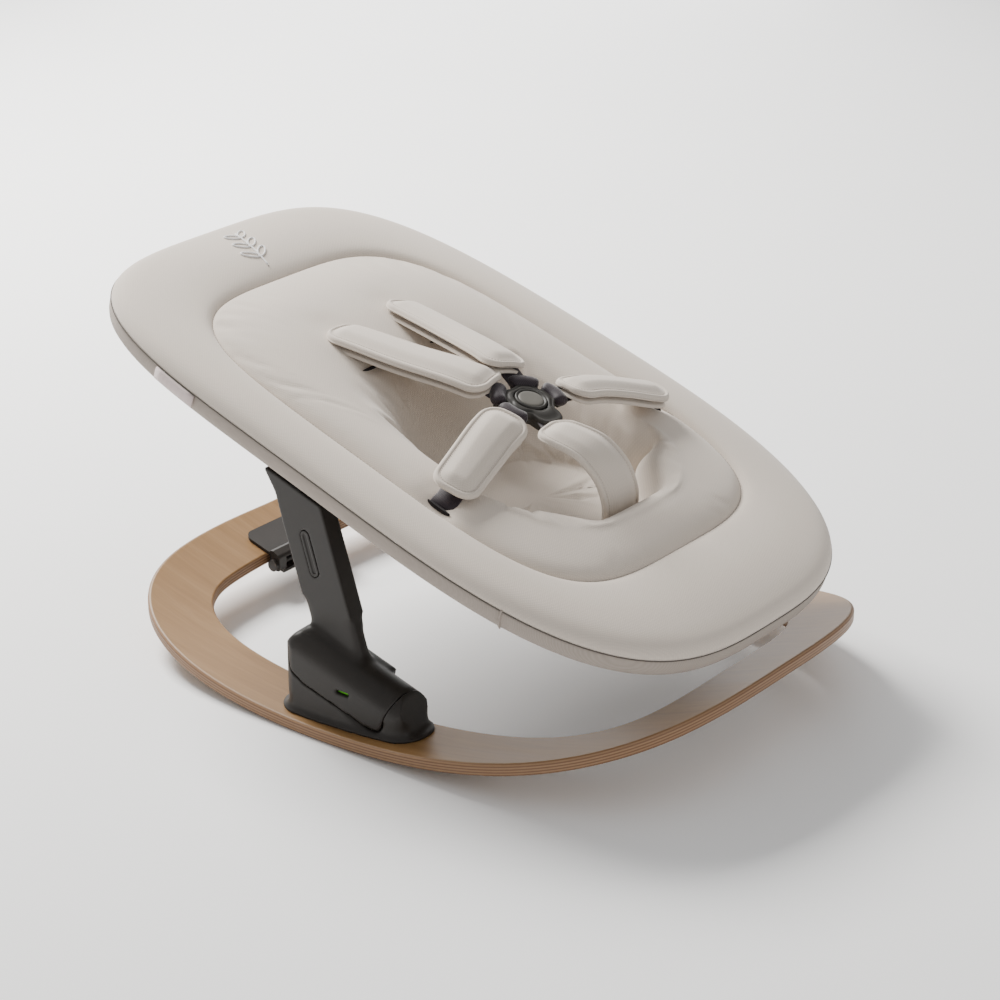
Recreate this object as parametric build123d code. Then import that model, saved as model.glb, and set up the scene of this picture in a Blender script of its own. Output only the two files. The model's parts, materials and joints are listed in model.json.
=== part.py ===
from build123d import *
import os
from math import atan2, cos, degrees, hypot, pi, radians, sin, sqrt

# Baby bouncer seat on a bent plywood rocker, in millimetres.
# X is across the seat, +Y points to the head end, Z is up, and the floor is Z = 0.

# Rocker ring: one closed plywood loop, curved in side view, flat across.
RING_Y = -28
RING_HALF_LENGTH, RING_HALF_WIDTH = 352, 267
PLANK_SIDE, PLANK_END = 73.5, 69
RING_OUTER_POWER, RING_INNER_POWER = 3.5, 4.75
RING_TAPER = 0.03
PLANK = 13
LOW_Y = 2
RADIUS_FRONT, RADIUS_REAR = 953, 1033

# Seat plane: the line of the piping, tilted with the head end up.
SEAT_Y, SEAT_Z, SEAT_TILT = 4.7, 261.2, 17.35
SEAT_HALF_LENGTH, SEAT_HALF_WIDTH = 390, 239.5
SEAT_HEAD_POWER, SEAT_FOOT_POWER = 3.95, 3.1
SEAT_TAPER = -0.034
TOPPER = 9
INLAY_TOP = 16
INLAY_HALF_LENGTH, INLAY_HALF_WIDTH, INLAY_POWER = 274, 179.5, 4.0
BAND_DEPTH, BAND_SKIN = 20, 3
TAG_S = 200

# Seat well: a tub with a rim outline and a smaller floor outline, (centre, half length, half width).
WELL_RIM = (-55, 165, 128)
WELL_FLOOR = (-106, 74, 84)
WELL_POWER = 3.0
WELL_DEPTH, WELL_MOUTH = 50, 17
LINER, SLING = 11, 3

# Boots, which hold the posts on the rocker.
BOOT_X, BOOT_Y, BOOT_YAW = -226, -32, 3.5
BOOT_LENGTH, BOOT_WIDTH, BOOT_FLANGE = 158, 50, 4.5
CROWN_Z, CROWN_SLOPE = 84.3, 0.335
SEAM_GAP = 0.8
PLUG_WIDTH, PLUG_LENGTH, PLUG_Y = 31, 96, -33
FIT = 0.5

# Posts: leaning arms between the boots and the seat.
POST_OUTER_X, POST_INNER_X = -230, -209
POST_COVER = 3
POST_WALL = 3
PIVOT_Y, PIVOT_Z = 50, 234
PIVOT_R, PIVOT_PLAY = 4, 0.05
HUB_X, HUB_THICK, HUB_GAP, HUB_MARGIN, BUSH_R = -206.5, 4, 0.6, 12, 6
BUTTON_Y, BUTTON_Z, BUTTON_LEAN = 24, 178.5, 18
BUTTON_LENGTH, BUTTON_WIDTH, STEM_R = 48, 11, 3
RECLINE = 10

# Latch: a bar in each boot with a release pad at one end and a green flag at the other.
LATCH_Y, LATCH_Z = -33, 52
LATCH_WIDTH, LATCH_THICK = 18, 3
FLAG_END, FLAG_FACE = 6.5, 21

# Rocking stopper on the rear of the ring.
STOP_WIDTH, STOP_FRONT, STOP_REAR = 96, 250, 292
AXLE_Y, AXLE_Z, AXLE_R, KNUCKLE_R = 246, 35, 3, 7
KNUCKLE = 11
LEG_REACH = 33.5
STOP_SCREW_Y = 284

# Seat frame and harness.
TUBE_R, TUBE_WALL, TUBE_X, TUBE_N, TUBE_END = 7, 1.5, 218, -11, 24
TUBE_FOOT_BEND, TUBE_HEAD_BEND = 190, 160
CROSS_R, CROSS_N = 6, -12
WEBBING, WEB_HALF = 25, 0.9
PAD_UNDER, PAD_TOP = 1.2, 10
BUCKLE_S, BUCKLE_N, BUCKLE_R, BUCKLE_THICK = -62, 38, 25, 16
HARNESS_BUTTON_R = 17
SHOULDER_X, SHOULDER_S = 49, 167
HIP_X, HIP_S = 172, -96

SEAT = Plane(origin=(0, SEAT_Y, SEAT_Z), x_dir=(1, 0, 0),
             z_dir=(0, -sin(radians(SEAT_TILT)), cos(radians(SEAT_TILT))))
BOOT = Pos(BOOT_X, BOOT_Y, 0) * Rot(0, 0, BOOT_YAW)


def oval(half_length, half_width, power_plus, power_minus, taper=0, centre=0, steps=36):
    """A closed superellipse face in XY, its long axis along Y."""
    points = []
    for i in range(steps):
        angle = 2 * pi * i / steps
        across, along = sin(angle), cos(angle)
        power = power_plus if along >= 0 else power_minus
        x = half_width * abs(across) ** (2 / power) * (1 if across >= 0 else -1)
        y = half_length * abs(along) ** (2 / power) * (1 if along >= 0 else -1)
        points.append((x * (1 + taper * y / half_length), y + centre))
    return make_face(Spline(*points, periodic=True))


def rounded(points, radii):
    """A closed face whose corners are rounded."""
    return make_face(FilletPolyline(*points, radius=radii, close=True))


def along_x(face, low, high):
    """Extrude a face drawn in (Y, Z) from X = low to X = high."""
    return Pos(low, 0, 0) * extrude(Plane.YZ * face, high - low)


def both_sides(shape):
    """The shape and its mirror image, as one part."""
    return shape + mirror(shape, about=Plane.YZ)


def rocker_z(y, lift):
    """Height of the line that runs a given distance above the ring's underside."""
    under = RADIUS_REAR if y > LOW_Y else RADIUS_FRONT
    return under - sqrt((under - lift) ** 2 - (y - LOW_Y) ** 2)


def rocker_line(lift, start, end):
    middle = (start + end) / 2
    return ThreePointArc((start, rocker_z(start, lift)), (middle, rocker_z(middle, lift)),
                         (end, rocker_z(end, lift)))


def rocker_layer(low, high, reach=420):
    """Everything between two lifts above the ring's underside."""
    edges = []
    for lift in (low, high):
        edges += [rocker_line(lift, LOW_Y - reach, LOW_Y), rocker_line(lift, LOW_Y, LOW_Y + reach)]
    for end in (LOW_Y - reach, LOW_Y + reach):
        edges.append(Line((end, rocker_z(end, low)), (end, rocker_z(end, high))))
    return along_x(make_face(edges), -320, 320)


def seat_outline(inset=0):
    return oval(SEAT_HALF_LENGTH - inset, SEAT_HALF_WIDTH - inset, SEAT_HEAD_POWER, SEAT_FOOT_POWER,
                SEAT_TAPER)


def outline_point(s):
    """The outline's edge on the +X side, at a distance along the head half of the seat."""
    x = SEAT_HALF_WIDTH * (1 - (s / SEAT_HALF_LENGTH) ** SEAT_HEAD_POWER) ** (1 / SEAT_HEAD_POWER)
    return x * (1 + SEAT_TAPER * s / SEAT_HALF_LENGTH), s


def column(face, low, high):
    return Pos(0, 0, low) * extrude(face, high - low)


def on_seat(shape):
    return SEAT.location * shape


def tub(grow):
    """The seat well's space, grown by the same amount sideways and downwards."""
    def outline(size):
        centre, half_length, half_width = size
        return oval(half_length + grow, half_width + grow, WELL_POWER, WELL_POWER, 0, centre, 24)

    floor = Pos(0, 0, -WELL_DEPTH - grow) * outline(WELL_FLOOR)
    return loft([floor, Pos(0, 0, WELL_MOUTH) * outline(WELL_RIM)])


def offset_path(path, distance):
    """The path moved sideways by a distance, mitred at its corners."""
    moved = []
    for i, (r, n) in enumerate(path):
        before, after = path[max(i - 1, 0)], path[min(i + 1, len(path) - 1)]
        dr, dn = after[0] - before[0], after[1] - before[1]
        length = hypot(dr, dn)
        moved.append((r - distance * dn / length, n + distance * dr / length))
    return moved


def ribbon(path, width, low, high):
    """A flat strip along a path of (run, height), between two offsets from that path."""
    points = offset_path(path, low) + offset_path(path, high)[::-1]
    return extrude(Plane.YZ * make_face(Polyline(*points, close=True)), width / 2, both=True)


def aimed(shape, start, toward):
    """Move a strip that runs along +Y so that it starts at one point and heads for another."""
    turn = -degrees(atan2(toward[0] - start[0], toward[1] - start[1]))
    return Pos(start[0], start[1], 0) * Rot(0, 0, turn) * shape


def coil(radius, wire, turns, length):
    """A compression spring along +Z from the origin."""
    path = Helix(pitch=length / turns, height=length, radius=radius)
    section = Plane(origin=path @ 0, z_dir=path % 0) * Circle(wire)
    return sweep(section, path)


# ---- Base ----
def rocker_ring():
    outer = oval(RING_HALF_LENGTH, RING_HALF_WIDTH, RING_OUTER_POWER, RING_OUTER_POWER, RING_TAPER, RING_Y)
    inner = oval(RING_HALF_LENGTH - PLANK_END, RING_HALF_WIDTH - PLANK_SIDE, RING_INNER_POWER,
                 RING_INNER_POWER, RING_TAPER, RING_Y)
    ring = rocker_layer(0, PLANK) & (column(outer, -5, 140) - column(inner, -6, 141))
    ring = fillet(ring.edges().filter_by(lambda e: e.length > 300), 3)
    for x, y in SCREW_SPOTS:
        ring -= screw(x, y, 0.2)
    for piece in stopper_screw(True):
        ring -= piece
    return ring


SCREW_SPOTS = [(side * -BOOT_X, PLUG_Y + step) for side in (-1, 1) for step in (-30, 30)]


def screw(x, y, play=0):
    """A countersunk screw from the underside of the ring up into a boot plug."""
    under = rocker_z(y, 0)
    shank = Pos(x, y, under + 14 + play) * Cylinder(3 + play, 28 + 2 * play)
    head = Pos(x, y, under + 3.4) * Cone(5.6 + play, 3 + play, 3)
    mouth = Pos(x, y, under + 0.95) * Cylinder(5.6 + play, 1.9)
    return shank + head + mouth


def boot_screws():
    drive = 2.5
    group = []
    for x, y in SCREW_SPOTS:
        under = rocker_z(y, 0)
        socket = Pos(x, y, under + 1) * extrude(RegularPolygon(drive, 6), 4)
        group.append(screw(x, y) - socket - Pos(x, y, under) * Cylinder(8, 2))
    return Compound(children=[part for piece in group for part in piece.solids()])


def boot_form():
    """Outer form of boot and saddle together, in boot coordinates."""
    plan = column(RectangleRounded(BOOT_WIDTH + 2, BOOT_LENGTH, 23), 0, 130)
    rear, front = BOOT_LENGTH / 2 - 4, -BOOT_LENGTH / 2
    side = [(rear, -5), (rear, CROWN_Z + CROWN_SLOPE * rear), (-64, CROWN_Z - CROWN_SLOPE * 64),
            (front, 14), (front, -5)]
    profile = along_x(rounded(side, [0.5, 22, 12, 1, 0.5]), -60, 60)
    slope = degrees(atan2(CROWN_SLOPE, 1))
    half = BOOT_WIDTH / 2
    arch = (Pos(0, -half) * Circle(half)) + (Pos(0, -half - 60) * Rectangle(BOOT_WIDTH, 120))
    housing = Pos(half / 2, -70) * RectangleRounded(half + 1, 132, 5)
    facing = (0, -cos(radians(slope)), -sin(radians(slope)))
    across = Plane(origin=(0, 0, CROWN_Z), x_dir=(1, 0, 0), z_dir=facing)
    pipe = extrude(across * arch, 120, both=True)
    box = extrude(across * housing, 34) + extrude(across * housing, -70)
    return plan & profile & (pipe + (box & profile))


def saddle_space(drop=0):
    """Side view of what belongs to the post's saddle rather than to the boot's base."""
    seam = [(39.5, 190), (39.5, 76), (31, 58), (15, 48.5), (-62, 24), (-77, 22), (-84, 40), (-97, 68),
            (-112, 110), (-112, 190)]
    offsets = [drop if y > 39 else 0 for y, z in seam]
    face = rounded([(y + shift, z - drop) for (y, z), shift in zip(seam, offsets)],
                   [1, 10, 10, 10, 8, 8, 10, 10, 5, 1])
    return along_x(face, -300, -150)


def plug_pocket(play=0):
    """The upright space inside a saddle that the plug stands in."""
    half = PLUG_LENGTH / 2 + play
    ends = (PLUG_Y - half, PLUG_Y + half)
    roof = [(y, CROWN_Z + CROWN_SLOPE * (y - BOOT_Y) - 10 + play) for y in ends]
    face = make_face(Polyline((ends[0], 5), roof[0], roof[1], (ends[1], 5), close=True))
    width = PLUG_WIDTH / 2 + play
    return along_x(face, BOOT_X - width, BOOT_X + width)


def boot_base():
    flange = BOOT * column(RectangleRounded(58, 172, 27), 0, 60) & rocker_layer(PLANK, PLANK + BOOT_FLANGE)
    body = (BOOT * boot_form() & rocker_layer(PLANK, 150)) - saddle_space(SEAM_GAP)
    base = flange + body - plug_pocket(FIT) - latch_way(1)
    base = base.solids().sort_by(SortBy.VOLUME)[-1]
    return base


def boot_plug():
    plug = plug_pocket() & rocker_layer(PLANK, 150)
    plug -= Pos(BOOT_X, PLUG_Y, 100) * Box(60, 2 * PLUG_LENGTH, 2 * (100 - LATCH_Z + LATCH_THICK))
    for x, y in SCREW_SPOTS[:2]:
        plug -= Pos(x, y, 30) * Cylinder(3, 60)
    return plug


def stopper_plate():
    width, top = STOP_WIDTH, PLANK + 3.5
    plan = Pos(0, (STOP_FRONT + STOP_REAR) / 2) * RectangleRounded(width, STOP_REAR - STOP_FRONT, 12)
    corner = Pos(0, STOP_FRONT + 8) * Rectangle(width, 16)
    plate = column(plan + corner, 0, 120) & rocker_layer(PLANK + 0.05, top)
    edge = RING_Y + RING_HALF_LENGTH - PLANK_END
    face = rounded([(STOP_FRONT - 11, AXLE_Z - 7), (STOP_FRONT - 11, 46), (STOP_FRONT - 1, 50.5),
                    (edge - 2, 50), (edge - 2, AXLE_Z - 7)], [3, 5, 2, 0.5, 2])
    apron = along_x(face, -width / 2, width / 2)
    apron &= along_x(make_face(Polyline((220, 20), (220, 52), (edge, 52), (edge, 20), close=True)), -60, 60)
    part = plate + apron
    part -= Pos(0, AXLE_Y, AXLE_Z) * Rot(0, 90, 0) * Cylinder(AXLE_R + 0.05, 120)
    part -= along_x(make_face(Polyline((230, 20), (230, AXLE_Z + 8), (edge + 0.1, AXLE_Z + 8),
                                       (edge + 0.1, 20), close=True)),
                    -width / 2 + KNUCKLE, width / 2 - KNUCKLE)
    for piece in stopper_screw(True):
        part -= piece
    return part


def stopper_screw(cut=False):
    """Two screws from under the ring up into the stopper's top plate."""
    under = rocker_z(STOP_SCREW_Y, 0)
    play, length = (0.1, 15.6) if cut else (0, 15.5)
    shank = Pos(0, STOP_SCREW_Y, under + length / 2) * Cylinder(2 + play, length)
    head = Pos(0, STOP_SCREW_Y, under + 0.5) * Cylinder(4 + play, 4 + 2 * play)
    return [Pos(x, 0, 0) * (shank + head) for x in (-30, 30)]


def stopper_screws():
    return Compound(children=[s for piece in stopper_screw() for s in piece.solids()])


def stopper_pin():
    turn = Rot(0, 90, 0)
    pin = Pos(0, AXLE_Y, AXLE_Z) * turn * Cylinder(AXLE_R, STOP_WIDTH + 6)
    for side in (-1, 1):
        pin += Pos(side * (STOP_WIDTH / 2 + 2.2), AXLE_Y, AXLE_Z) * turn * Cylinder(6.5, 4)
    return pin


def leg_shape(near, far, low, high):
    """The leg's plate in side view, folded back along the ring's underside."""
    lean = degrees(atan2(AXLE_Y - LOW_Y + 16, RADIUS_REAR))
    plate = Pos(0, near, low) * Box(1, far - near, high - low, align=(Align.CENTER, Align.MIN, Align.MIN))
    return Pos(0, AXLE_Y, AXLE_Z) * Rot(lean, 0, 0) * scale(plate, by=(STOP_WIDTH - 2 * KNUCKLE - 1, 1, 1))


def stopper_leg():
    width = STOP_WIDTH - 2 * KNUCKLE - 1
    barrel = Pos(0, AXLE_Y, AXLE_Z) * Rot(0, 90, 0) * Cylinder(KNUCKLE_R - 0.5, width)
    leg = barrel + leg_shape(-5, LEG_REACH - 3, -12.5, -6.5) + leg_shape(-5, 3, -8, -4)
    return leg - Pos(0, AXLE_Y, AXLE_Z) * Rot(0, 90, 0) * Cylinder(AXLE_R + 0.05, 120)


def stopper_foot_pad():
    return leg_shape(LEG_REACH - 3, LEG_REACH - 1.5, -12.5, -6.5)


# ---- Posts ----
def post_outline(inset=0):
    """Side view of a post, inset evenly from its visible edge."""
    points = [(-44, 73), (8.5, 233), (84, 257.5), (68, 233), (57, 197), (27, 104), (18, 78)]
    face = rounded(points, [1, 5, 2, 20, 40, 6, 1])
    return face if inset == 0 else offset(face, amount=-inset)


def button_slot(play, near, far):
    slot = SlotOverall(BUTTON_LENGTH + 2 * play, BUTTON_WIDTH + 2 * play, rotation=90)
    slot = Pos(BUTTON_Y, BUTTON_Z) * Rot(0, 0, -BUTTON_LEAN) * slot
    return along_x(slot, near, far)


def latch_way(play):
    """Channel across the boot for the latch bar."""
    size = (80, LATCH_WIDTH + 2 * play, LATCH_THICK + 2 * play)
    return Pos(BOOT_X + 10, LATCH_Y, LATCH_Z) * Box(*size)


def post_outer():
    split = POST_INNER_X - POST_COVER - 0.2
    shell = along_x(post_outline(), POST_OUTER_X, split)
    saddle = BOOT * boot_form() & saddle_space()
    shell = shell + saddle
    shell -= along_x(post_outline(POST_WALL) & Pos(20, 200) * Rectangle(200, 180), POST_OUTER_X + POST_WALL,
                     split + 1)
    shell -= plug_pocket(FIT)
    shell -= latch_way(0.5) & Pos(BOOT_X + 30, 0, 60) * Box(80, 200, 100)
    shell -= Pos(BOOT_X - 20, LATCH_Y, LATCH_Z) * Box(30, LATCH_WIDTH - 2 + 1, LATCH_THICK + 0.6)
    shell -= button_slot(0.3, POST_OUTER_X - 2, POST_OUTER_X + 5)
    shell -= along_x(post_outline(), split, POST_INNER_X + 30) & Pos(0, 0, 200) * Box(600, 200, 180)
    return shell.solids().sort_by(SortBy.VOLUME)[-1]


def post_inner():
    cover = along_x(post_outline() & Pos(20, 200) * Rectangle(200, 180), POST_INNER_X - POST_COVER,
                    POST_INNER_X)
    cover -= Pos(POST_INNER_X, PIVOT_Y, PIVOT_Z) * Rot(0, 90, 0) * Cylinder(PIVOT_R, 20)
    cover -= Pos(POST_INNER_X, BUTTON_Y, BUTTON_Z) * Rot(0, 90, 0) * Cylinder(3.3, 20)
    for x, y, z in POST_SCREWS:
        cover -= Pos(x, y, z) * Rot(0, 90, 0) * Cylinder(1.7, 20)
    return cover


def post_core():
    core = along_x(post_outline(POST_WALL + 0.6) & Pos(20, 205) * Rectangle(200, 170), -220, -212.4)
    core -= Pos(-216, PIVOT_Y, PIVOT_Z) * Rot(0, 90, 0) * Cylinder(PIVOT_R, 20)
    core -= Pos(-216, BUTTON_Y, BUTTON_Z) * Rot(0, 90, 0) * Cylinder(6.2, 20)
    for x, y, z in POST_SCREWS:
        core -= Pos(x, y, z) * Rot(0, 90, 0) * Cylinder(1.7, 20)
    return core


POST_SCREWS = [(-212, 0, 138), (-212, 20, 205), (-212, 60, 243)]


def post_screws():
    group = []
    for x, y, z in POST_SCREWS:
        shank = Pos(-214, y, z) * Rot(0, 90, 0) * Cylinder(1.7, 10)
        head = Pos(-208.1, y, z) * Rot(0, 90, 0) * Cylinder(3.2, 1.8)
        group += [shank + head, mirror(shank + head, about=Plane.YZ)]
    return Compound(children=[s for piece in group for s in piece.solids()])


def pivot_bolt():
    tip, far = -219, HUB_X + HUB_THICK + 0.2
    shank = Pos((tip + far) / 2, PIVOT_Y, PIVOT_Z) * Rot(0, 90, 0) * Cylinder(PIVOT_R, far - tip)
    head = Pos(far + 1.75, PIVOT_Y, PIVOT_Z) * Rot(0, 90, 0) * Cylinder(8, 3.5)
    return shank + head


def recline_button():
    rim, back = POST_OUTER_X, POST_OUTER_X + 5.5
    button = button_slot(0, rim - 0.2, back) - button_slot(-3, rim - 1, rim + 0.8)
    stem = Pos((back + HUB_X + 6) / 2, BUTTON_Y, BUTTON_Z) * Rot(0, 90, 0)
    return button + stem * Cylinder(STEM_R, HUB_X + 6 - back)


def recline_spring():
    start = POST_OUTER_X + 6
    return Pos(start, BUTTON_Y, BUTTON_Z) * Rot(0, 90, 0) * coil(4.4, 0.5, 2.5, 6.5)


def latch_slide():
    near, far = BOOT_X - FLAG_END, BOOT_X + 24
    bar = Pos((near + far) / 2, LATCH_Y, LATCH_Z) * Box(far - near, LATCH_WIDTH, LATCH_THICK)
    pad = Pos(far + 2, LATCH_Y, LATCH_Z) * Box(5, LATCH_WIDTH, LATCH_THICK)
    return bar + pad


def indicator_flag():
    reach = FLAG_FACE - FLAG_END
    return Pos(BOOT_X - FLAG_END - reach / 2, LATCH_Y, LATCH_Z) * Box(reach, LATCH_WIDTH - 2, LATCH_THICK)


def hub_plate():
    """The seat's side of the recline pivot: its rim turns past the button's stem."""
    arm = hypot(BUTTON_Y - PIVOT_Y, BUTTON_Z - PIVOT_Z)
    down = degrees(atan2(BUTTON_Z - PIVOT_Z, BUTTON_Y - PIVOT_Y)) + RECLINE / 2
    rim = arm - STEM_R - HUB_GAP
    half = RECLINE / 2 + HUB_MARGIN
    turns = [radians(turn) for turn in (down - half, down, down + half)]
    corners = [(rim * cos(turn), rim * sin(turn)) for turn in turns]
    edges = [Line((0, 0), corners[0]), ThreePointArc(*corners), Line(corners[2], (0, 0))]
    web = Rot(0, 0, SEAT_TILT) * Pos(0, 11) * Rectangle(34, 20)
    face = Pos(PIVOT_Y, PIVOT_Z) * (Circle(17) + make_face(edges) + web)
    plate = along_x(face, HUB_X, HUB_X + HUB_THICK)
    plate -= Pos(HUB_X, PIVOT_Y, PIVOT_Z) * Rot(0, 90, 0) * Cylinder(BUSH_R, 20)
    pivot = SEAT.to_local_coords(Vector(0, PIVOT_Y, PIVOT_Z))
    tab = on_seat(Pos(-217, pivot.Y, TUBE_N - TUBE_R - 1.5) * Box(29, 34, 3))
    return plate + tab


def hub_bush():
    ring = Cylinder(BUSH_R, HUB_THICK) - Cylinder(PIVOT_R + PIVOT_PLAY, HUB_THICK + 2)
    return Pos(HUB_X + HUB_THICK / 2, PIVOT_Y, PIVOT_Z) * Rot(0, 90, 0) * ring


# ---- Seat ----
def frame_tube():
    ends = SEAT_HALF_LENGTH - TUBE_END
    corners = [(-TUBE_X, -ends), (-TUBE_X, ends), (TUBE_X, ends), (TUBE_X, -ends)]
    bends = [TUBE_FOOT_BEND, TUBE_HEAD_BEND, TUBE_HEAD_BEND, TUBE_FOOT_BEND]
    path = FilletPolyline(*corners, radius=bends, close=True)
    section = Plane(origin=(TUBE_X, 0, 0), x_dir=(1, 0, 0), z_dir=(0, 1, 0))
    tube = sweep(section * (Circle(TUBE_R) - Circle(TUBE_R - TUBE_WALL)), path)
    return on_seat(Pos(0, 0, TUBE_N) * tube)


def cross_tube(s, bend):
    """A straight tube across the frame, at a distance along the seat where the frame bends."""
    into = abs(s) - (SEAT_HALF_LENGTH - TUBE_END - bend)
    reach = TUBE_X - bend + sqrt(bend ** 2 - max(into, 0) ** 2)
    length = 2 * (reach - TUBE_R - 4)
    tube = Cylinder(CROSS_R, length) - Cylinder(CROSS_R - TUBE_WALL, length + 2)
    return on_seat(Pos(0, s, CROSS_N) * Rot(0, 90, 0) * tube)


SLOTS = [(side * x, s, w, h) for side in (-1, 1) for x, s, w, h in
         ((SHOULDER_X, SHOULDER_S, 34, 5), (SHOULDER_X + 4, 98, 34, 5), (HIP_X, HIP_S, 10, 36))]


def cut_slots(shape):
    for x, s, width, length in SLOTS:
        shape -= Pos(x, s, 0) * Box(width, length, 80)
    return shape


def topper_pad():
    return on_seat(cut_slots(column(seat_outline(), -0.4, TOPPER) - tub(LINER + 0.6)))


def inlay_pad():
    outline = oval(INLAY_HALF_LENGTH, INLAY_HALF_WIDTH, INLAY_POWER, INLAY_POWER, SEAT_TAPER)
    return on_seat(cut_slots(column(outline, TOPPER + 0.2, INLAY_TOP) - tub(LINER + 0.1)))


def well_liner():
    """The padded wall and floor of the well, level with the inlay at its rim."""
    below_rim = Pos(0, 0, INLAY_TOP - 100) * Box(600, 900, 200)
    return on_seat(cut_slots((tub(LINER) & below_rim) - tub(0)))


def seat_sling():
    sheet = column(seat_outline(16), -0.4 - SLING, -0.6)
    hang = tub(LINER + 0.6 + SLING) & Pos(0, 0, -100.6) * Box(600, 900, 200)
    return on_seat(cut_slots(sheet + hang - tub(LINER + 0.6)))


def side_band():
    core = column(seat_outline(BAND_SKIN), -BAND_DEPTH - 1, 0)
    return on_seat(column(seat_outline(), -BAND_DEPTH, -0.6) - core)


def side_tag():
    ends = [outline_point(s) for s in (TAG_S - 29, TAG_S + 29)]
    middle = [(a + b) / 2 for a, b in zip(*ends)]
    turn = -degrees(atan2(ends[1][0] - ends[0][0], ends[1][1] - ends[0][1]))
    return on_seat(Pos(-middle[0] - 1.6, middle[1], -9) * Rot(0, 0, -turn) * Box(1, 58, 13))


BUCKLE_TOP = BUCKLE_N + BUCKLE_THICK
TONGUE_TIP = BUCKLE_R + 14
SHOULDER_ANGLE, HIP_ANGLE = 50, -4


def tongue_place(angle):
    """A point beside the buckle, on the ray at an angle from straight across."""
    return (TONGUE_TIP * cos(radians(angle)), BUCKLE_S + TONGUE_TIP * sin(radians(angle)))


def shoulder(width, low, high, trim):
    end = tongue_place(SHOULDER_ANGLE)
    start = (SHOULDER_X, SHOULDER_S)
    length = hypot(end[0] - start[0], end[1] - start[1]) - 7
    path = [(0, 4), (0, 17), (6, 19), (length * 0.3, 21), (length * 0.65, 31), (length, BUCKLE_N + 8)]
    path = path if trim == 0 else [(trim, 20), path[3], path[4], (length - 8, BUCKLE_N + 6.8)]
    return on_seat(aimed(ribbon(path, width, low, high), start, end))


def hip(width, low, high, trim):
    end = tongue_place(HIP_ANGLE)
    start = (HIP_X, HIP_S)
    length = hypot(end[0] - start[0], end[1] - start[1])
    path = [(0, 4), (0, 17), (6, 20), (length * 0.5, 31), (length, BUCKLE_N + 8)]
    path = path if trim == 0 else [(trim, 22), path[3], (length - 10, BUCKLE_N + 6.5)]
    return on_seat(aimed(ribbon(path, width, low, high), start, end))


def crotch(width, low, high, trim):
    start = BUCKLE_S - BUCKLE_R - 3
    path = [(start, BUCKLE_N + 8), (-128, 49), (-150, 42), (-163, 26), (-166, 4), (-163, -20),
            (-158, -49.5)]
    path = path if trim == 0 else [(start - 3, BUCKLE_N + 8.5)] + path[1:5] + [(-165, -8)]
    return on_seat(ribbon(path, width, low, high))


def buckle_back():
    plate = Cylinder(BUCKLE_R, 5, align=(Align.CENTER, Align.CENTER, Align.MIN))
    return on_seat(Pos(0, BUCKLE_S, BUCKLE_N) * plate)


def buckle_front():
    depth = BUCKLE_THICK - 5.2
    shell = Cylinder(BUCKLE_R, depth, align=(Align.CENTER, Align.CENTER, Align.MIN))
    shell = fillet(shell.edges().sort_by(Axis.Z)[-1], 4)
    shell -= Cylinder(HARNESS_BUTTON_R + 0.4, 40)
    for angle in (SHOULDER_ANGLE, 180 - SHOULDER_ANGLE, HIP_ANGLE, 180 - HIP_ANGLE):
        arm = Rot(0, 0, angle) * Pos(BUCKLE_R, 0, 0) * Box(12, 22, 7)
        shell -= arm
    return on_seat(Pos(0, BUCKLE_S, BUCKLE_N + 5.2) * shell)


def tongue(angle):
    blade = Pos(BUCKLE_R - 1, 0, 0) * Box(8, 16, 2.4)
    bar = Pos(TONGUE_TIP - 6.6, 0, 0) * Box(9, 28, 4.5)
    bar += Pos(BUCKLE_R + 3, 0, 0) * Box(6, 20, 2.4)
    return on_seat(Pos(0, BUCKLE_S, BUCKLE_N + 7) * Rot(0, 0, angle) * (blade + bar))


def buckle_button():
    cap = Cylinder(HARNESS_BUTTON_R, 6, align=(Align.CENTER, Align.CENTER, Align.MIN))
    cap = fillet(cap.edges().sort_by(Axis.Z)[-1], 1.5)
    return on_seat(Pos(0, BUCKLE_S, BUCKLE_TOP - 5.4) * cap)


def buckle_spring():
    return on_seat(Pos(0, BUCKLE_S, BUCKLE_TOP - 5.4 - 2.1) * coil(6, 0.6, 2, 1.4))


def save(name, shape):
    export_step(shape, f"parts/{name}.step")


def save_pair(name, shape):
    save(f"left_{name}", shape)
    save(f"right_{name}", mirror(shape, about=Plane.YZ))


os.makedirs("parts", exist_ok=True)
save("rocker_ring", rocker_ring())
save("boot_screws", boot_screws())
save_pair("boot_base", boot_base())
save_pair("boot_plug", boot_plug())
save("stopper_plate", stopper_plate())
save("stopper_screws", stopper_screws())
save("stopper_pin", stopper_pin())
save("stopper_leg", stopper_leg())
save("stopper_foot_pad", stopper_foot_pad())
save_pair("post_outer", post_outer())
save_pair("post_inner", post_inner())
save_pair("post_core", post_core())
save("post_screws", post_screws())
save("pivot_bolts", both_sides(pivot_bolt()))
save_pair("recline_button", recline_button())
save_pair("recline_spring", recline_spring())
save_pair("latch_slide", latch_slide())
save_pair("indicator_flag", indicator_flag())
save_pair("hub_plate", hub_plate())
save("hub_bushes", both_sides(hub_bush()))
save("frame_tube", frame_tube())
save("head_cross_tube", cross_tube(215, TUBE_HEAD_BEND))
save("foot_cross_tube", cross_tube(-262, TUBE_FOOT_BEND))
save("seat_sling", seat_sling())
save("topper_pad", topper_pad())
save("inlay_pad", inlay_pad())
save("well_liner", well_liner())
save("side_band", side_band())
save("side_tag", side_tag())
save_pair("shoulder_strap", mirror(shoulder(WEBBING, -WEB_HALF, WEB_HALF, 0), about=Plane.YZ))
save_pair("shoulder_pad", mirror(shoulder(48, PAD_UNDER, PAD_TOP, 14), about=Plane.YZ))
save_pair("hip_strap", mirror(hip(WEBBING, -WEB_HALF, WEB_HALF, 0), about=Plane.YZ))
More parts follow.
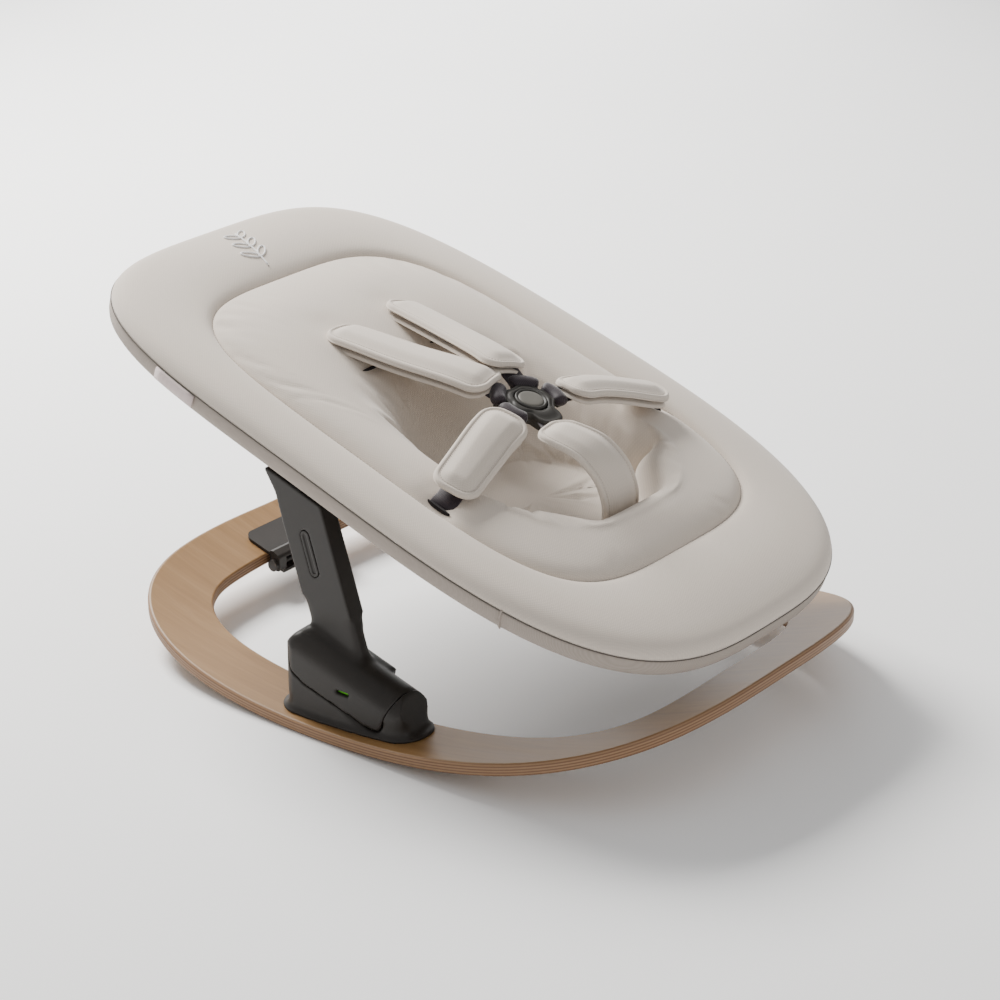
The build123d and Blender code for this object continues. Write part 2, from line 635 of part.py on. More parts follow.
save_pair("hip_pad", mirror(hip(50, PAD_UNDER, PAD_TOP, 16), about=Plane.YZ))
save("crotch_strap", crotch(WEBBING, -WEB_HALF, WEB_HALF, 0))
save("crotch_pad", crotch(50, -PAD_TOP, -PAD_UNDER, 14))
save("buckle_back", buckle_back())
save("buckle_front", buckle_front())
save_pair("shoulder_tongue", tongue(180 - SHOULDER_ANGLE))
save_pair("hip_tongue", tongue(180 - HIP_ANGLE))
save("buckle_button", buckle_button())
save("buckle_spring", buckle_spring())
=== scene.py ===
"""Looks of a baby bouncer: fabric seat, harness, plywood rocker and moulded posts."""

import json
import math

import bmesh
import bpy
import numpy as np
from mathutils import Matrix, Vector
from mathutils.bvhtree import BVHTree


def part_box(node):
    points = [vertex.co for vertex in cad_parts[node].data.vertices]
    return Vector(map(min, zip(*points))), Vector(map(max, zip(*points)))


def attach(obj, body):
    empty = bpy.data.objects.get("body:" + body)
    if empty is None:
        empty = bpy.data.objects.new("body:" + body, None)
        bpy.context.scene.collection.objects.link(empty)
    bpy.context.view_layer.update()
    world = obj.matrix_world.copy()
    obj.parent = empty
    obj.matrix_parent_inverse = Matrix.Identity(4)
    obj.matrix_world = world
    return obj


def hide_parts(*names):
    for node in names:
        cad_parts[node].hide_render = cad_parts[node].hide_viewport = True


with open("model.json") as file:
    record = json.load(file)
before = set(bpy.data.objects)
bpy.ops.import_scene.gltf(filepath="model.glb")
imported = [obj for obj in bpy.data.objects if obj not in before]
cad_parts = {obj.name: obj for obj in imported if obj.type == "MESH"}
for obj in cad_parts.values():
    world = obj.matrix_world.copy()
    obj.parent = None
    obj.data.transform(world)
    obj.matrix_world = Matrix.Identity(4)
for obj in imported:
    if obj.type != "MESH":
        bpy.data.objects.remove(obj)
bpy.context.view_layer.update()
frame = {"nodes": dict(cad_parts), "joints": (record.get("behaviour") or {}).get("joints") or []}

MM = 0.001
NODES = frame["nodes"]
JOINTS = {joint["name"]: joint for joint in frame["joints"]}

# The seat's own axes: x across, s along towards the head, n up from the plane of the piping.
PRESS = Vector(JOINTS["harness_release"]["axis"])
NORMAL = np.array(-PRESS)
ALONG = np.array([0.0, NORMAL[2], -NORMAL[1]])
TOPPER_LOW, TOPPER_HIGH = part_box("topper_pad")
TOPPER_MIDDLE = 4.3 * MM
ORIGIN = np.array((TOPPER_LOW + TOPPER_HIGH) / 2) - NORMAL * TOPPER_MIDDLE
BOW_SQUARE, BOW_CUBE = -9.6, 1.1
SEAT_HALF_LENGTH, SEAT_HALF_WIDTH = 390.0, 239.5

# Outlines as (centre, half length, half width, head power, foot power, taper), in mm on the seat.
SEAT_EDGE = (0, SEAT_HALF_LENGTH, SEAT_HALF_WIDTH, 3.95, 3.1, -0.034)
INLAY_EDGE = (1.5, 274, 179.5, 4.0, 4.0, -0.034)
WELL_RIM = (-55, 165, 128, 3.0, 3.0, 0)
WELL_FLOOR = (-106, 74, 84, 3.0, 3.0, 0)
COLUMNS = 288

TOPPER_TOP, SEAM_N, INLAY_TOP, FLOOR_N = 15.0, 8.5, 18.0, -53.0

BUCKLE_S, BUCKLE_N = -62.0, 38.0

# The rocker's underside is two arcs that meet at RING_LOW_Y: one towards the foot, one towards the head.
RING_LOW_Y, FRONT_RADIUS, REAR_RADIUS, PLANK = 2.0, 953.0, 1033.0, 13.0


# ---- Mesh helpers ----
def bow(s):
    """How far the seat sags from a flat plane, in mm, at a distance along it."""
    t = np.asarray(s, float) / SEAT_HALF_LENGTH
    return BOW_SQUARE * t**2 + BOW_CUBE * t**3


def on_seat(points, bowed=True):
    """Points given as (across, along, height) in mm on the seat, in the shared frame in metres."""
    p = np.asarray(points, float)
    n = p[..., 2] + (bow(p[..., 1]) if bowed else 0)
    world = ORIGIN + p[..., 1, None] * MM * ALONG + n[..., None] * MM * NORMAL
    world[..., 0] += p[..., 0] * MM
    return world


def make(name, points, faces):
    mesh = bpy.data.meshes.new(name)
    mesh.from_pydata(np.asarray(points, float).reshape(-1, 3).tolist(), [], faces)
    shape = bmesh.new()
    shape.from_mesh(mesh)
    bmesh.ops.recalc_face_normals(shape, faces=shape.faces)
    shape.to_mesh(mesh)
    shape.free()
    mesh.polygons.foreach_set("use_smooth", [True] * len(mesh.polygons))
    piece = bpy.data.objects.new(name, mesh)
    bpy.context.scene.collection.objects.link(piece)
    return piece


def ring_faces(count, width, closed=False):
    """Faces between rings of points, each ring of one width; closed joins the last ring to the first."""
    faces = []
    for i in range(count if closed else count - 1):
        for j in range(width):
            i2, j2 = (i + 1) % count, (j + 1) % width
            faces.append((i * width + j, i * width + j2, i2 * width + j2, i2 * width + j))
    return faces


def skin(name, rows, closed_rows=False, cap_start=False, cap_end=False):
    """A mesh through rings of points, all of one length."""
    rows = np.asarray(rows, float)
    count, width = rows.shape[:2]
    faces = ring_faces(count, width, closed_rows)
    points = rows.reshape(-1, 3)
    for wanted, row in ((cap_start, 0), (cap_end, count - 1)):
        if wanted:
            points = np.vstack([points, rows[row].mean(0)])
            middle, base = len(points) - 1, row * width
            for j in range(width):
                faces.append((base + j, base + (j + 1) % width, middle))
    return make(name, points, faces)


def joined(name, parts):
    """One mesh from several (points, faces) parts."""
    points, faces, start = [], [], 0
    for part_points, part_faces in parts:
        points.append(np.asarray(part_points, float).reshape(-1, 3))
        faces += [tuple(start + i for i in face) for face in part_faces]
        start += len(points[-1])
    return make(name, np.vstack(points), faces)


def smoothstep(t):
    t = np.clip(t, 0, 1)
    return t * t * (3 - 2 * t)


def curve_through(points, count):
    """A smooth line through points, evenly spaced along its length."""
    points = np.asarray(points, float)
    ends = [2 * points[0] - points[1], *points, 2 * points[-1] - points[-2]]
    line = []
    for p0, p1, p2, p3 in zip(ends, ends[1:], ends[2:], ends[3:]):
        for t in np.linspace(0, 1, 24, endpoint=False):
            line.append(0.5 * (2 * p1 + (p2 - p0) * t + (2 * p0 - 5 * p1 + 4 * p2 - p3) * t**2
                               + (3 * p1 - p0 - 3 * p2 + p3) * t**3))
    line.append(points[-1])
    return evenly(np.array(line), count)


def evenly(line, count):
    steps = np.linalg.norm(np.diff(line, axis=0), axis=1)
    run = np.concatenate([[0], np.cumsum(steps)])
    wanted = np.linspace(0, run[-1], count)
    return np.stack([np.interp(wanted, run, line[:, k]) for k in range(3)], axis=1)


def directions(line, closed=False):
    """Unit tangents of a line of points."""
    if closed:
        ahead = np.roll(line, -1, axis=0) - np.roll(line, 1, axis=0)
    else:
        ahead = np.gradient(line, axis=0)
    return ahead / np.linalg.norm(ahead, axis=1)[:, None]


def tube(line, radius, sides=10, closed=False, up=None, flat=1.0):
    """A round or flattened tube along a line, as (points, faces)."""
    line = np.asarray(line, float)
    tangent = directions(line, closed)
    up = NORMAL if up is None else up
    side = np.cross(tangent, up)
    side /= np.linalg.norm(side, axis=1)[:, None]
    lift = np.cross(side, tangent)
    turns = 2 * np.pi * np.arange(sides) / sides
    ring = side[:, None] * np.cos(turns)[None, :, None] + lift[:, None] * np.sin(turns)[None, :, None] * flat
    points = line[:, None] + radius * ring
    count = len(line)
    faces = ring_faces(count, sides, closed)
    if not closed:
        faces.append(tuple(range(sides))[::-1])
        faces.append(tuple((count - 1) * sides + j for j in range(sides)))
    return points.reshape(-1, 3), faces


def stitches(line, length, gap, radius, up):
    """Threads laid end to end along a line, as one (points, faces) part."""
    steps = np.linalg.norm(np.diff(line, axis=0), axis=1)
    run = np.concatenate([[0], np.cumsum(steps)])
    count = max(2, int(run[-1] / (length + gap)))
    starts = np.arange(count) * run[-1] / count
    points, faces, base = [], [], 0
    profile = [(0.0, 0.35), (0.2, 0.95), (0.5, 1.0), (0.8, 0.95), (1.0, 0.35)]
    for start in starts:
        at = np.array([start + f * length for f, _ in profile])
        centre = np.stack([np.interp(at, run, line[:, k]) for k in range(3)], axis=1)
        ahead = centre[-1] - centre[0]
        ahead /= np.linalg.norm(ahead)
        index = min(int(np.searchsorted(run, start)), len(line) - 1)
        lift = up[index] if np.ndim(up) == 2 else up
        side = np.cross(ahead, lift)
        side /= np.linalg.norm(side)
        for (_, size), middle in zip(profile, centre):
            for turn in range(5):
                a = 2 * np.pi * turn / 5
                points.append(middle + radius * size * (side * np.cos(a) + lift * np.sin(a)))
        faces += [tuple(base + i for i in face) for face in ring_faces(5, 5)]
        faces.append(tuple(base + j for j in range(5))[::-1])
        faces.append(tuple(base + 20 + j for j in range(5)))
        base += 25
    return np.array(points), faces


def applied(piece):
    """Bakes a piece's modifiers into its mesh."""
    graph = bpy.context.evaluated_depsgraph_get()
    mesh = bpy.data.meshes.new_from_object(piece.evaluated_get(graph))
    piece.modifiers.clear()
    piece.data = mesh
    mesh.polygons.foreach_set("use_smooth", [True] * len(mesh.polygons))
    return piece


def finish_piece(piece, body, material, replaces=()):
    piece.data.materials.clear()
    piece.data.materials.append(material)
    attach(piece, body)
    if replaces:
        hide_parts(*replaces)
    return piece


# ---- Materials ----
class Shader:
    """Small helper that builds one procedural material."""

    def __init__(self, name, roughness=0.6, **constants):
        self.material = bpy.data.materials.new(name)
        self.material.use_nodes = True
        self.tree = self.material.node_tree
        self.surface = self.tree.nodes["Principled BSDF"]
        self.surface.inputs["Roughness"].default_value = roughness
        for socket, value in constants.items():
            self.surface.inputs[socket.replace("_", " ")].default_value = value
        self.place = self.node("ShaderNodeTexCoord").outputs["Object"]

    def node(self, kind, **settings):
        made = self.tree.nodes.new(kind)
        for key, value in settings.items():
            setattr(made, key, value)
        return made

    def link(self, source, target):
        self.tree.links.new(source, target)

    def scaled(self, scale, rotation=(0, 0, 0)):
        mapping = self.node("ShaderNodeMapping")
        mapping.inputs["Scale"].default_value = scale
        mapping.inputs["Rotation"].default_value = rotation
        self.link(self.place, mapping.inputs["Vector"])
        return mapping.outputs["Vector"]

    def noise(self, scale, detail=4, vector=None, roughness=0.55, distortion=0):
        made = self.node("ShaderNodeTexNoise")
        made.inputs["Scale"].default_value = scale
        made.inputs["Detail"].default_value = detail
        made.inputs["Roughness"].default_value = roughness
        made.inputs["Distortion"].default_value = distortion
        self.link(vector or self.place, made.inputs["Vector"])
        return made.outputs["Fac"]

    def wave(self, scale, direction, vector=None, distortion=0.0, detail=1.0):
        made = self.node("ShaderNodeTexWave", bands_direction=direction)
        made.inputs["Scale"].default_value = scale
        made.inputs["Distortion"].default_value = distortion
        made.inputs["Detail"].default_value = detail
        self.link(vector or self.place, made.inputs["Vector"])
        return made.outputs["Fac"]

    def math(self, operation, a, b=0.0, c=0.0):
        made = self.node("ShaderNodeMath", operation=operation)
        for socket, value in zip(made.inputs, (a, b, c)):
            if isinstance(value, (int, float)):
                socket.default_value = value
            else:
                self.link(value, socket)
        return made.outputs[0]

    def ramp(self, factor, stops):
        made = self.node("ShaderNodeValToRGB")
        elements = made.color_ramp.elements
        while len(elements) < len(stops):
            elements.new(0.5)
        for element, (position, colour) in zip(elements, stops):
            element.position = position
            element.color = (*colour, 1)
        self.link(factor, made.inputs["Fac"])
        return made.outputs["Color"]

    def mix(self, factor, a, b, blend="MIX"):
        made = self.node("ShaderNodeMix", data_type="RGBA", blend_type=blend)
        for socket, value in ((made.inputs[0], factor), (made.inputs[6], a), (made.inputs[7], b)):
            if isinstance(value, (int, float)):
                socket.default_value = value
            elif isinstance(value, tuple):
                socket.default_value = (*value, 1)
            else:
                self.link(value, socket)
        return made.outputs[2]

    def spread(self, factor, low, high):
        made = self.node("ShaderNodeMapRange")
        made.inputs["To Min"].default_value = low
        made.inputs["To Max"].default_value = high
        self.link(factor, made.inputs["Value"])
        return made.outputs["Result"]

    def bump(self, height, strength, distance):
        made = self.node("ShaderNodeBump")
        made.inputs["Strength"].default_value = strength
        made.inputs["Distance"].default_value = distance
        self.link(height, made.inputs["Height"])
        self.link(made.outputs["Normal"], self.surface.inputs["Normal"])

    def colour(self, source):
        self.link(source, self.surface.inputs["Base Color"])

    def rough(self, source):
        self.link(source, self.surface.inputs["Roughness"])


def tone(colour, amount):
    return tuple(min(1.0, max(0.0, channel * amount)) for channel in colour)


def woven(name, colour, thread=0.9, contrast=0.05, bump=0.35, sheen=0.25, mottle=0.05, roughness=0.85):
    """Fine cloth: two crossed sets of threads, fuzz and slow shifts of tone."""
    s = Shader(name, roughness, Sheen_Weight=sheen, Sheen_Roughness=0.5, Specular_IOR_Level=0.25)
    turned = s.scaled((1, 1, 1), (0, 0, math.radians(45)))
    scale = 1 / (thread * MM) / 6.2832
    warp = s.wave(scale, "X", turned, 0.6, 2)
    weft = s.wave(scale, "Y", turned, 0.6, 2)
    threads = s.math("MULTIPLY", warp, weft)
    fuzz = s.noise(900, 5)
    slow = s.noise(14, 3)
    tint = s.ramp(threads, [(0.0, tone(colour, 1 - contrast)), (1.0, tone(colour, 1 + contrast))])
    tint = s.mix(s.spread(slow, 0.0, 1.0), s.mix(1.0, tint, (1 - mottle,) * 3, "MULTIPLY"), tint)
    tint = s.mix(s.spread(fuzz, 0.0, 0.12), tint, tone(colour, 0.72))
    s.colour(tint)
    s.rough(s.spread(fuzz, roughness - 0.08, roughness + 0.08))
    s.bump(s.math("ADD", threads, s.math("MULTIPLY", fuzz, 0.8)), bump, 0.0004)
    return s.material


def webbing_material():
    """Tightly woven nylon strap with ribs across it."""
    colour = (0.028, 0.0165, 0.0235)
    s = Shader("webbing", 0.55, Sheen_Weight=0.35, Sheen_Roughness=0.4, Specular_IOR_Level=0.4)
    ribs = s.wave(260, "Y", None, 0.4, 2)
    cross = s.wave(330, "X", None, 0.4, 2)
    weave = s.math("MULTIPLY", ribs, cross)
    s.colour(s.ramp(weave, [(0.0, tone(colour, 0.5)), (0.6, colour), (1.0, tone(colour, 1.8))]))
    s.rough(s.spread(weave, 0.65, 0.42))
    s.bump(weave, 0.35, 0.0003)
    return s.material


def plastic(name, colour, roughness=0.42, grain=900, bump=0.12, wear=0.25):
    """Moulded plastic: spark-eroded grain, faint smudges and paler worn edges."""
    s = Shader(name, roughness, Specular_IOR_Level=0.3)
    fine = s.noise(grain, 3)
    smudge = s.noise(22, 4)
    edge = s.node("ShaderNodeNewGeometry").outputs["Pointiness"]
    worn = s.ramp(edge, [(0.52, (0, 0, 0)), (0.6, (1, 1, 1))])
    tint = s.ramp(smudge, [(0.3, tone(colour, 0.88)), (0.7, tone(colour, 1.12))])
    tint = s.mix(s.math("MULTIPLY", worn, wear), tint, tone(colour, 2.2))
    s.colour(tint)
    s.rough(s.spread(smudge, roughness - 0.07, roughness + 0.1))
    s.bump(fine, bump, 0.0003)
    return s.material


def plywood_material():
    """Lacquered beech ply: long grain on the faces and stacked layers along the edges."""
    s = Shader("beech_plywood", 0.5, Specular_IOR_Level=0.36)
    front, rear = FRONT_RADIUS * MM, REAR_RADIUS * MM
    apart = s.node("ShaderNodeSeparateXYZ")
    s.link(s.place, apart.inputs[0])
    y = s.math("SUBTRACT", apart.outputs["Y"], RING_LOW_Y * MM)
    behind = s.math("GREATER_THAN", y, 0.0)
    radius = s.math("ADD", s.math("MULTIPLY", behind, rear - front), front)
    drop = s.math("SUBTRACT", radius, apart.outputs["Z"])
    reach = s.math("SQRT", s.math("ADD", s.math("POWER", drop, 2.0), s.math("POWER", y, 2.0)))
    lift = s.math("DIVIDE", s.math("SUBTRACT", radius, reach), PLANK * MM)
    grain_place = s.scaled((1.0, 0.055, 0.055))
    streaks = s.noise(95, 5, grain_place, 0.62, 0.6)
    figure = s.noise(11, 3, s.scaled((1.0, 0.16, 0.16)), 0.5, 1.2)
    pores = s.noise(900, 2, s.scaled((1.0, 0.06, 0.06)), 0.6)
    face = s.ramp(streaks, [(0.26, (0.215, 0.113, 0.038)), (0.5, (0.275, 0.152, 0.056)),
                            (0.76, (0.34, 0.202, 0.083))])
    face = s.mix(s.spread(figure, 0.0, 0.5), face, (0.235, 0.124, 0.046))
    face = s.mix(s.math("MULTIPLY", s.math("GREATER_THAN", pores, 0.62), 0.22), face, (0.2, 0.11, 0.055))
    layers = s.math("PINGPONG", s.math("MULTIPLY", lift, 9.0), 1.0)
    flecks = s.noise(420, 3, None, 0.7)
    edge = s.mix(layers, (0.36, 0.21, 0.11), (0.125, 0.062, 0.03))
    edge = s.mix(s.spread(flecks, 0.0, 0.3), edge, (0.13, 0.068, 0.035))
    inside = s.math("MULTIPLY", s.math("GREATER_THAN", lift, 0.04), s.math("LESS_THAN", lift, 0.965))
    s.colour(s.mix(inside, face, edge))
    s.rough(s.spread(streaks, 0.42, 0.54))
    s.bump(s.math("ADD", streaks, s.math("MULTIPLY", pores, 0.5)), 0.12, 0.0003)
    return s.material


def metal(name, colour, roughness):
    """Plated or painted metal with fine brushing."""
    s = Shader(name, roughness, Metallic=0.95)
    brushed = s.noise(500, 3, s.scaled((1, 0.1, 1)))
    s.colour(s.ramp(brushed, [(0.3, tone(colour, 0.85)), (0.7, tone(colour, 1.1))]))
    s.rough(s.spread(brushed, roughness - 0.06, roughness + 0.1))
    s.bump(brushed, 0.1, 0.0002)
    return s.material


COVER = (0.665, 0.588, 0.508)
BAND = (0.40, 0.345, 0.30)
DARK = (0.0215, 0.0182, 0.0157)
MATERIALS = {
    "cover": woven("soft_fabric", COVER),
    "pad": woven("pad_fabric", tone(COVER, 0.97), 0.8),
    "band": woven("band_fabric", BAND, 0.55, 0.10, 0.35, 0.1, 0.06, 0.9),
    "sling": woven("sling_fabric", tone(BAND, 0.55), 1.6, 0.25, 0.6, 0.05, 0.08, 0.9),
    "thread": woven("stitch_thread", tone(COVER, 0.74), 0.4, 0.1, 0.3, 0.1),
    "motif": woven("motif_thread", (0.93, 0.91, 0.9), 0.4, 0.04, 0.4, 0.6),
    "piping": woven("piping_cord", tone(BAND, 0.3), 0.6, 0.15, 0.4, 0.05),
    # slot: near-black colour of the plugs in the strap openings, painted shade inside the holes
    "slot": woven("slot_painted_shade", (0.012, 0.009, 0.01), 0.8, 0.2, 0.3, 0.05),
    "tag": woven("tag_ribbon", (0.72, 0.60, 0.575), 0.6, 0.1, 0.4, 0.3),
    "webbing": webbing_material(),
    "dark": plastic("dark_plastic", DARK),
    "button": plastic("button_plastic", (0.125, 0.118, 0.103), 0.5, 700, 0.08, 0.1),
    "rim": plastic("buckle_plastic", (0.032, 0.0295, 0.026), 0.5, 900, 0.06, 0.3),
    "green": plastic("green_plastic", (0.09, 0.42, 0.012), 0.3, 600, 0.03, 0.1),
    "bush": plastic("bush_plastic", (0.62, 0.6, 0.55), 0.3, 600, 0.04, 0.0),
    "rubber": plastic("pad_rubber", (0.02, 0.02, 0.02), 0.8, 500, 0.3, 0.1),
    "steel": metal("steel", (0.5, 0.5, 0.51), 0.35),
    "tube": plastic("painted_tube", (0.03, 0.03, 0.03), 0.4, 1200, 0.15, 0.3),
    "insert": metal("aluminium_insert", (0.6, 0.6, 0.62), 0.5),
    "wood": plywood_material(),
}


# ---- Camera, light and floor ----
def make_camera():
    azimuth, elevation, distance = math.radians(-51.169), math.radians(23.3277), 2.8551
    target = Vector((0, -0.029, 0.198))
    back = Vector((math.sin(azimuth) * math.cos(elevation), -math.cos(azimuth) * math.cos(elevation),
                   math.sin(elevation)))
    data = bpy.data.cameras.new("camera")
    data.lens, data.sensor_width = 100.55, 36
    data.shift_x, data.shift_y = 0.0008, -0.0235
    camera = bpy.data.objects.new("camera", data)
    bpy.context.scene.collection.objects.link(camera)
    camera.location = target + back * distance
    camera.rotation_mode = "QUATERNION"
    camera.rotation_quaternion = (-back).to_track_quat("-Z", "Y")
    bpy.context.scene.camera = camera


def area_light(name, location, target, size, power, colour=(1, 1, 1)):
    data = bpy.data.lights.new(name, "AREA")
    data.energy, data.size, data.color = power, size, colour
    light = bpy.data.objects.new(name, data)
    bpy.context.scene.collection.objects.link(light)
    light.location = location
    light.rotation_mode = "QUATERNION"
    light.rotation_quaternion = (Vector(target) - Vector(location)).to_track_quat("-Z", "Y")


def make_studio():
    area_light("key", (0.5, 2.45, 2.35), (0, 0, 0.2), 1.3, 275, (1.0, 0.985, 0.955))
    area_light("low_back", (2.3, 1.9, 0.8), (-0.1, -0.1, 0.05), 1.6, 24)
    area_light("low_fill", (-0.7, -2.8, 0.75), (0, -0.1, 0.15), 1.6, 9)
    world = bpy.data.worlds.new("studio")
    world.use_nodes = True
    world.node_tree.nodes["Background"].inputs["Color"].default_value = (1, 1, 1, 1)
    world.node_tree.nodes["Background"].inputs["Strength"].default_value = 0.56
    bpy.context.scene.world = world
    size = 40.0
    corners = [(-size, -size, 0), (size, -size, 0), (size, size, 0), (-size, size, 0)]
    floor = make("floor", corners, [(0, 1, 2, 3)])
    s = Shader("floor_paper", 0.9)
    s.colour(s.ramp(s.noise(3, 2), [(0.2, (0.95, 0.95, 0.95)), (0.8, (0.97, 0.97, 0.97))]))
    floor.data.materials.append(s.material)


# ---- Rocker, boots, posts and stopper ----
def soften(nodes, name, voxel, passes, fillet=None):
    """CAD nodes merged into one skin with rounded edges, and rounder still where fillet(points) is high."""
    shape = bmesh.new()
    for node in nodes:
        shape.from_mesh(NODES[node].data)
    bmesh.ops.remove_doubles(shape, verts=shape.verts, dist=1e-5)
    mesh = bpy.data.meshes.new(name)
    shape.to_mesh(mesh)
    shape.free()
    piece = bpy.data.objects.new(name, mesh)
    bpy.context.scene.collection.objects.link(piece)
    remesh = piece.modifiers.new("remesh", "REMESH")
    remesh.mode, remesh.voxel_size = "VOXEL", voxel * MM
    applied(piece)
    smooth = piece.modifiers.new("smooth", "SMOOTH")
    smooth.factor, smooth.iterations = 0.5, passes
    if fillet:
        points = np.empty(len(piece.data.vertices) * 3)
        piece.data.vertices.foreach_get("co", points)
        weights = fillet(points.reshape(-1, 3))
        group = piece.vertex_groups.new(name="fillet")
        for index in np.nonzero(weights > 0.02)[0]:
            group.add([int(index)], float(weights[index]), "REPLACE")
        extra = piece.modifiers.new("extra", "SMOOTH")
        extra.factor, extra.iterations, extra.vertex_group = 0.5, 140, "fillet"
    return applied(piece)


def crown(y):
    """Height in metres of a boot's rounded top along its length."""
    return (84.3 + 0.335 * (y / MM + 32)) * MM


def neck(points):
    """High where a post's foot runs into its saddle, and over the step at its ankle."""
    above = (points[:, 2] - crown(points[:, 1])) / MM
    join = smoothstep((above + 8) / 8) * smoothstep((26 - above) / 8)
    ankle = smoothstep((points[:, 2] / MM - 98) / 6) * smoothstep((124 - points[:, 2] / MM) / 6)
    crest = smoothstep((points[:, 1] / MM - 22) / 8) * smoothstep((above + 22) / 8)
    crest = crest * smoothstep((20 - above) / 8)
    return np.maximum(np.maximum(join, ankle), crest)


def skirt(points):
    """High where a boot flares out into the flange that lies on the plank."""
    y = points[:, 1] / MM - RING_LOW_Y
    radius = np.where(y < 0, FRONT_RADIUS, REAR_RADIUS)
    above = points[:, 2] / MM - (radius - np.sqrt(radius**2 - y**2) + PLANK)
    return smoothstep((above - 2.5) / 2) * smoothstep((22 - above) / 10)


def make_posts():
    for side in ("left", "right"):
        shells = [f"{side}_post_outer", f"{side}_post_inner"]
        post = soften(shells, f"{side}_post_shell", 1.4, 3, neck)
        finish_piece(post, "carrier", MATERIALS["dark"], shells)
        base = soften([f"{side}_boot_base"], f"{side}_boot_shell", 1.1, 2, skirt)
        finish_piece(base, "base", MATERIALS["dark"], [f"{side}_boot_base"])
        button = soften([f"{side}_recline_button"], f"{side}_recline_push", 0.5, 3)
        finish_piece(button, f"{side}_recline_button", MATERIALS["dark"],
                     [f"{side}_recline_button"])


def dress_frame():
    """Materials for the CAD nodes that stay as they are."""
    dressed = {
        "wood": ["rocker_ring"],
        "dark": ["stopper_plate", "stopper_leg", "stopper_pin",
                 "left_boot_plug", "right_boot_plug", "left_latch_slide", "right_latch_slide",
                 "left_shoulder_tongue", "right_shoulder_tongue", "left_hip_tongue", "right_hip_tongue"],
        "rubber": ["stopper_foot_pad"],
        "green": ["left_indicator_flag", "right_indicator_flag"],
        "bush": ["hub_bushes"],
        "steel": ["boot_screws", "stopper_screws", "post_screws", "pivot_bolts", "left_recline_spring",
                  "right_recline_spring", "buckle_spring", "left_hub_plate", "right_hub_plate"],
        "tube": ["frame_tube", "head_cross_tube", "foot_cross_tube"],
        "insert": ["left_post_core", "right_post_core"],
    }
    for key, nodes in dressed.items():
        for node in nodes:
            NODES[node].data.materials.clear()
            NODES[node].data.materials.append(MATERIALS[key])


# ---- Seat cover ----
ANGLES = 2 * np.pi * np.arange(COLUMNS) / COLUMNS


def outline(size, inset=0.0):
    """Points (x, s) of a superellipse, met by rays at even angles from its centre."""
    centre, half_length, half_width, head, foot, taper = size
    a, b = half_width - inset, half_length - inset
    across, along = np.sin(ANGLES), np.cos(ANGLES)
    power = np.where(along >= 0, head, foot)
    across_ray, along_ray = across * a, along * b
    reach = (np.abs(across) ** power + np.abs(along) ** power) ** (-1 / power)
    x, s = across_ray * reach, along_ray * reach
    return np.stack([x * (1 + taper * s / half_length), s + centre], axis=1)


def row(xs, n):
    return np.column_stack([xs, np.broadcast_to(n, len(xs))])


def dents(rows):
    """Presses the cover in around each strap slot and puckers it beside the well's seams."""
    x, s = rows[..., 0], rows[..., 1]
    for side in (-1, 1):
        for cx, cs, wide, tall, deep in ((50, 169, 24, 9, 6.0), (53, 98, 22, 7, 4.0), (172, -99, 9, 22, 7.5)):
            near = np.exp(-(((x - side * cx) / wide) ** 2 + ((s - cs) / tall) ** 2) ** 1.2)
            rows[..., 2] -= deep * near
    return rows


def topper_rows():
    rows = []
    for inset in (0, 0.4, 1.2, 2.5, 4.5, 7, 10, 14, 18, 23, 28):
        t = min(inset / 26, 1)
        n = TOPPER_TOP * (1 - (1 - t) ** 2.3) ** (1 / 1.9)
        rows.append(row(outline(SEAT_EDGE, inset), n))
    edge = outline(SEAT_EDGE, 28)
    seam = outline(INLAY_EDGE)
    width = np.linalg.norm(seam - edge, axis=1)
    for t in (0.15, 0.3, 0.42, 0.54, 0.65, 0.74, 0.82, 0.88, 0.93, 0.965, 0.985, 1.0):
        away = width * (1 - t)
        n = TOPPER_TOP - (TOPPER_TOP - SEAM_N) * np.exp(-((away / 6.5) ** 1.2)) + 1.0 * np.sin(np.pi * t)
        rows.append(row(edge * (1 - t) + seam * t, n))
    return rows


# The front cushion's profile: how far towards its crease, and how high.
FRONT_PLACE = (0, 0.12, 0.24, 0.36, 0.48, 0.58, 0.67, 0.75, 0.82,
               0.88, 0.93, 0.965, 0.99, 1.0, 1.0, 0.99, 0.98, 0.98)
FRONT_N = (18.0, 20.3, 21.8, 22.4, 22.0, 20.8, 18.8, 16.0, 12.4,
           8.2, 3.6, -1.0, -5.6, -10.0, -13.5, -16.5, -19.5, -22)


def crease():
    """Where the plump front cushion meets the well, and how far each ray belongs to that front."""
    rim = outline(WELL_RIM)
    x = rim[:, 0] * 0.95
    s = -201 + 51 * smoothstep((np.abs(x) - 48) / 48)
    away = np.abs(ANGLES - np.pi)
    return np.stack([x, s], axis=1), smoothstep((1.4 - away) / 0.4)


def floor_height(s):
    return FLOOR_N + 29 * np.clip((-60 - s) / 110, 0, 1)


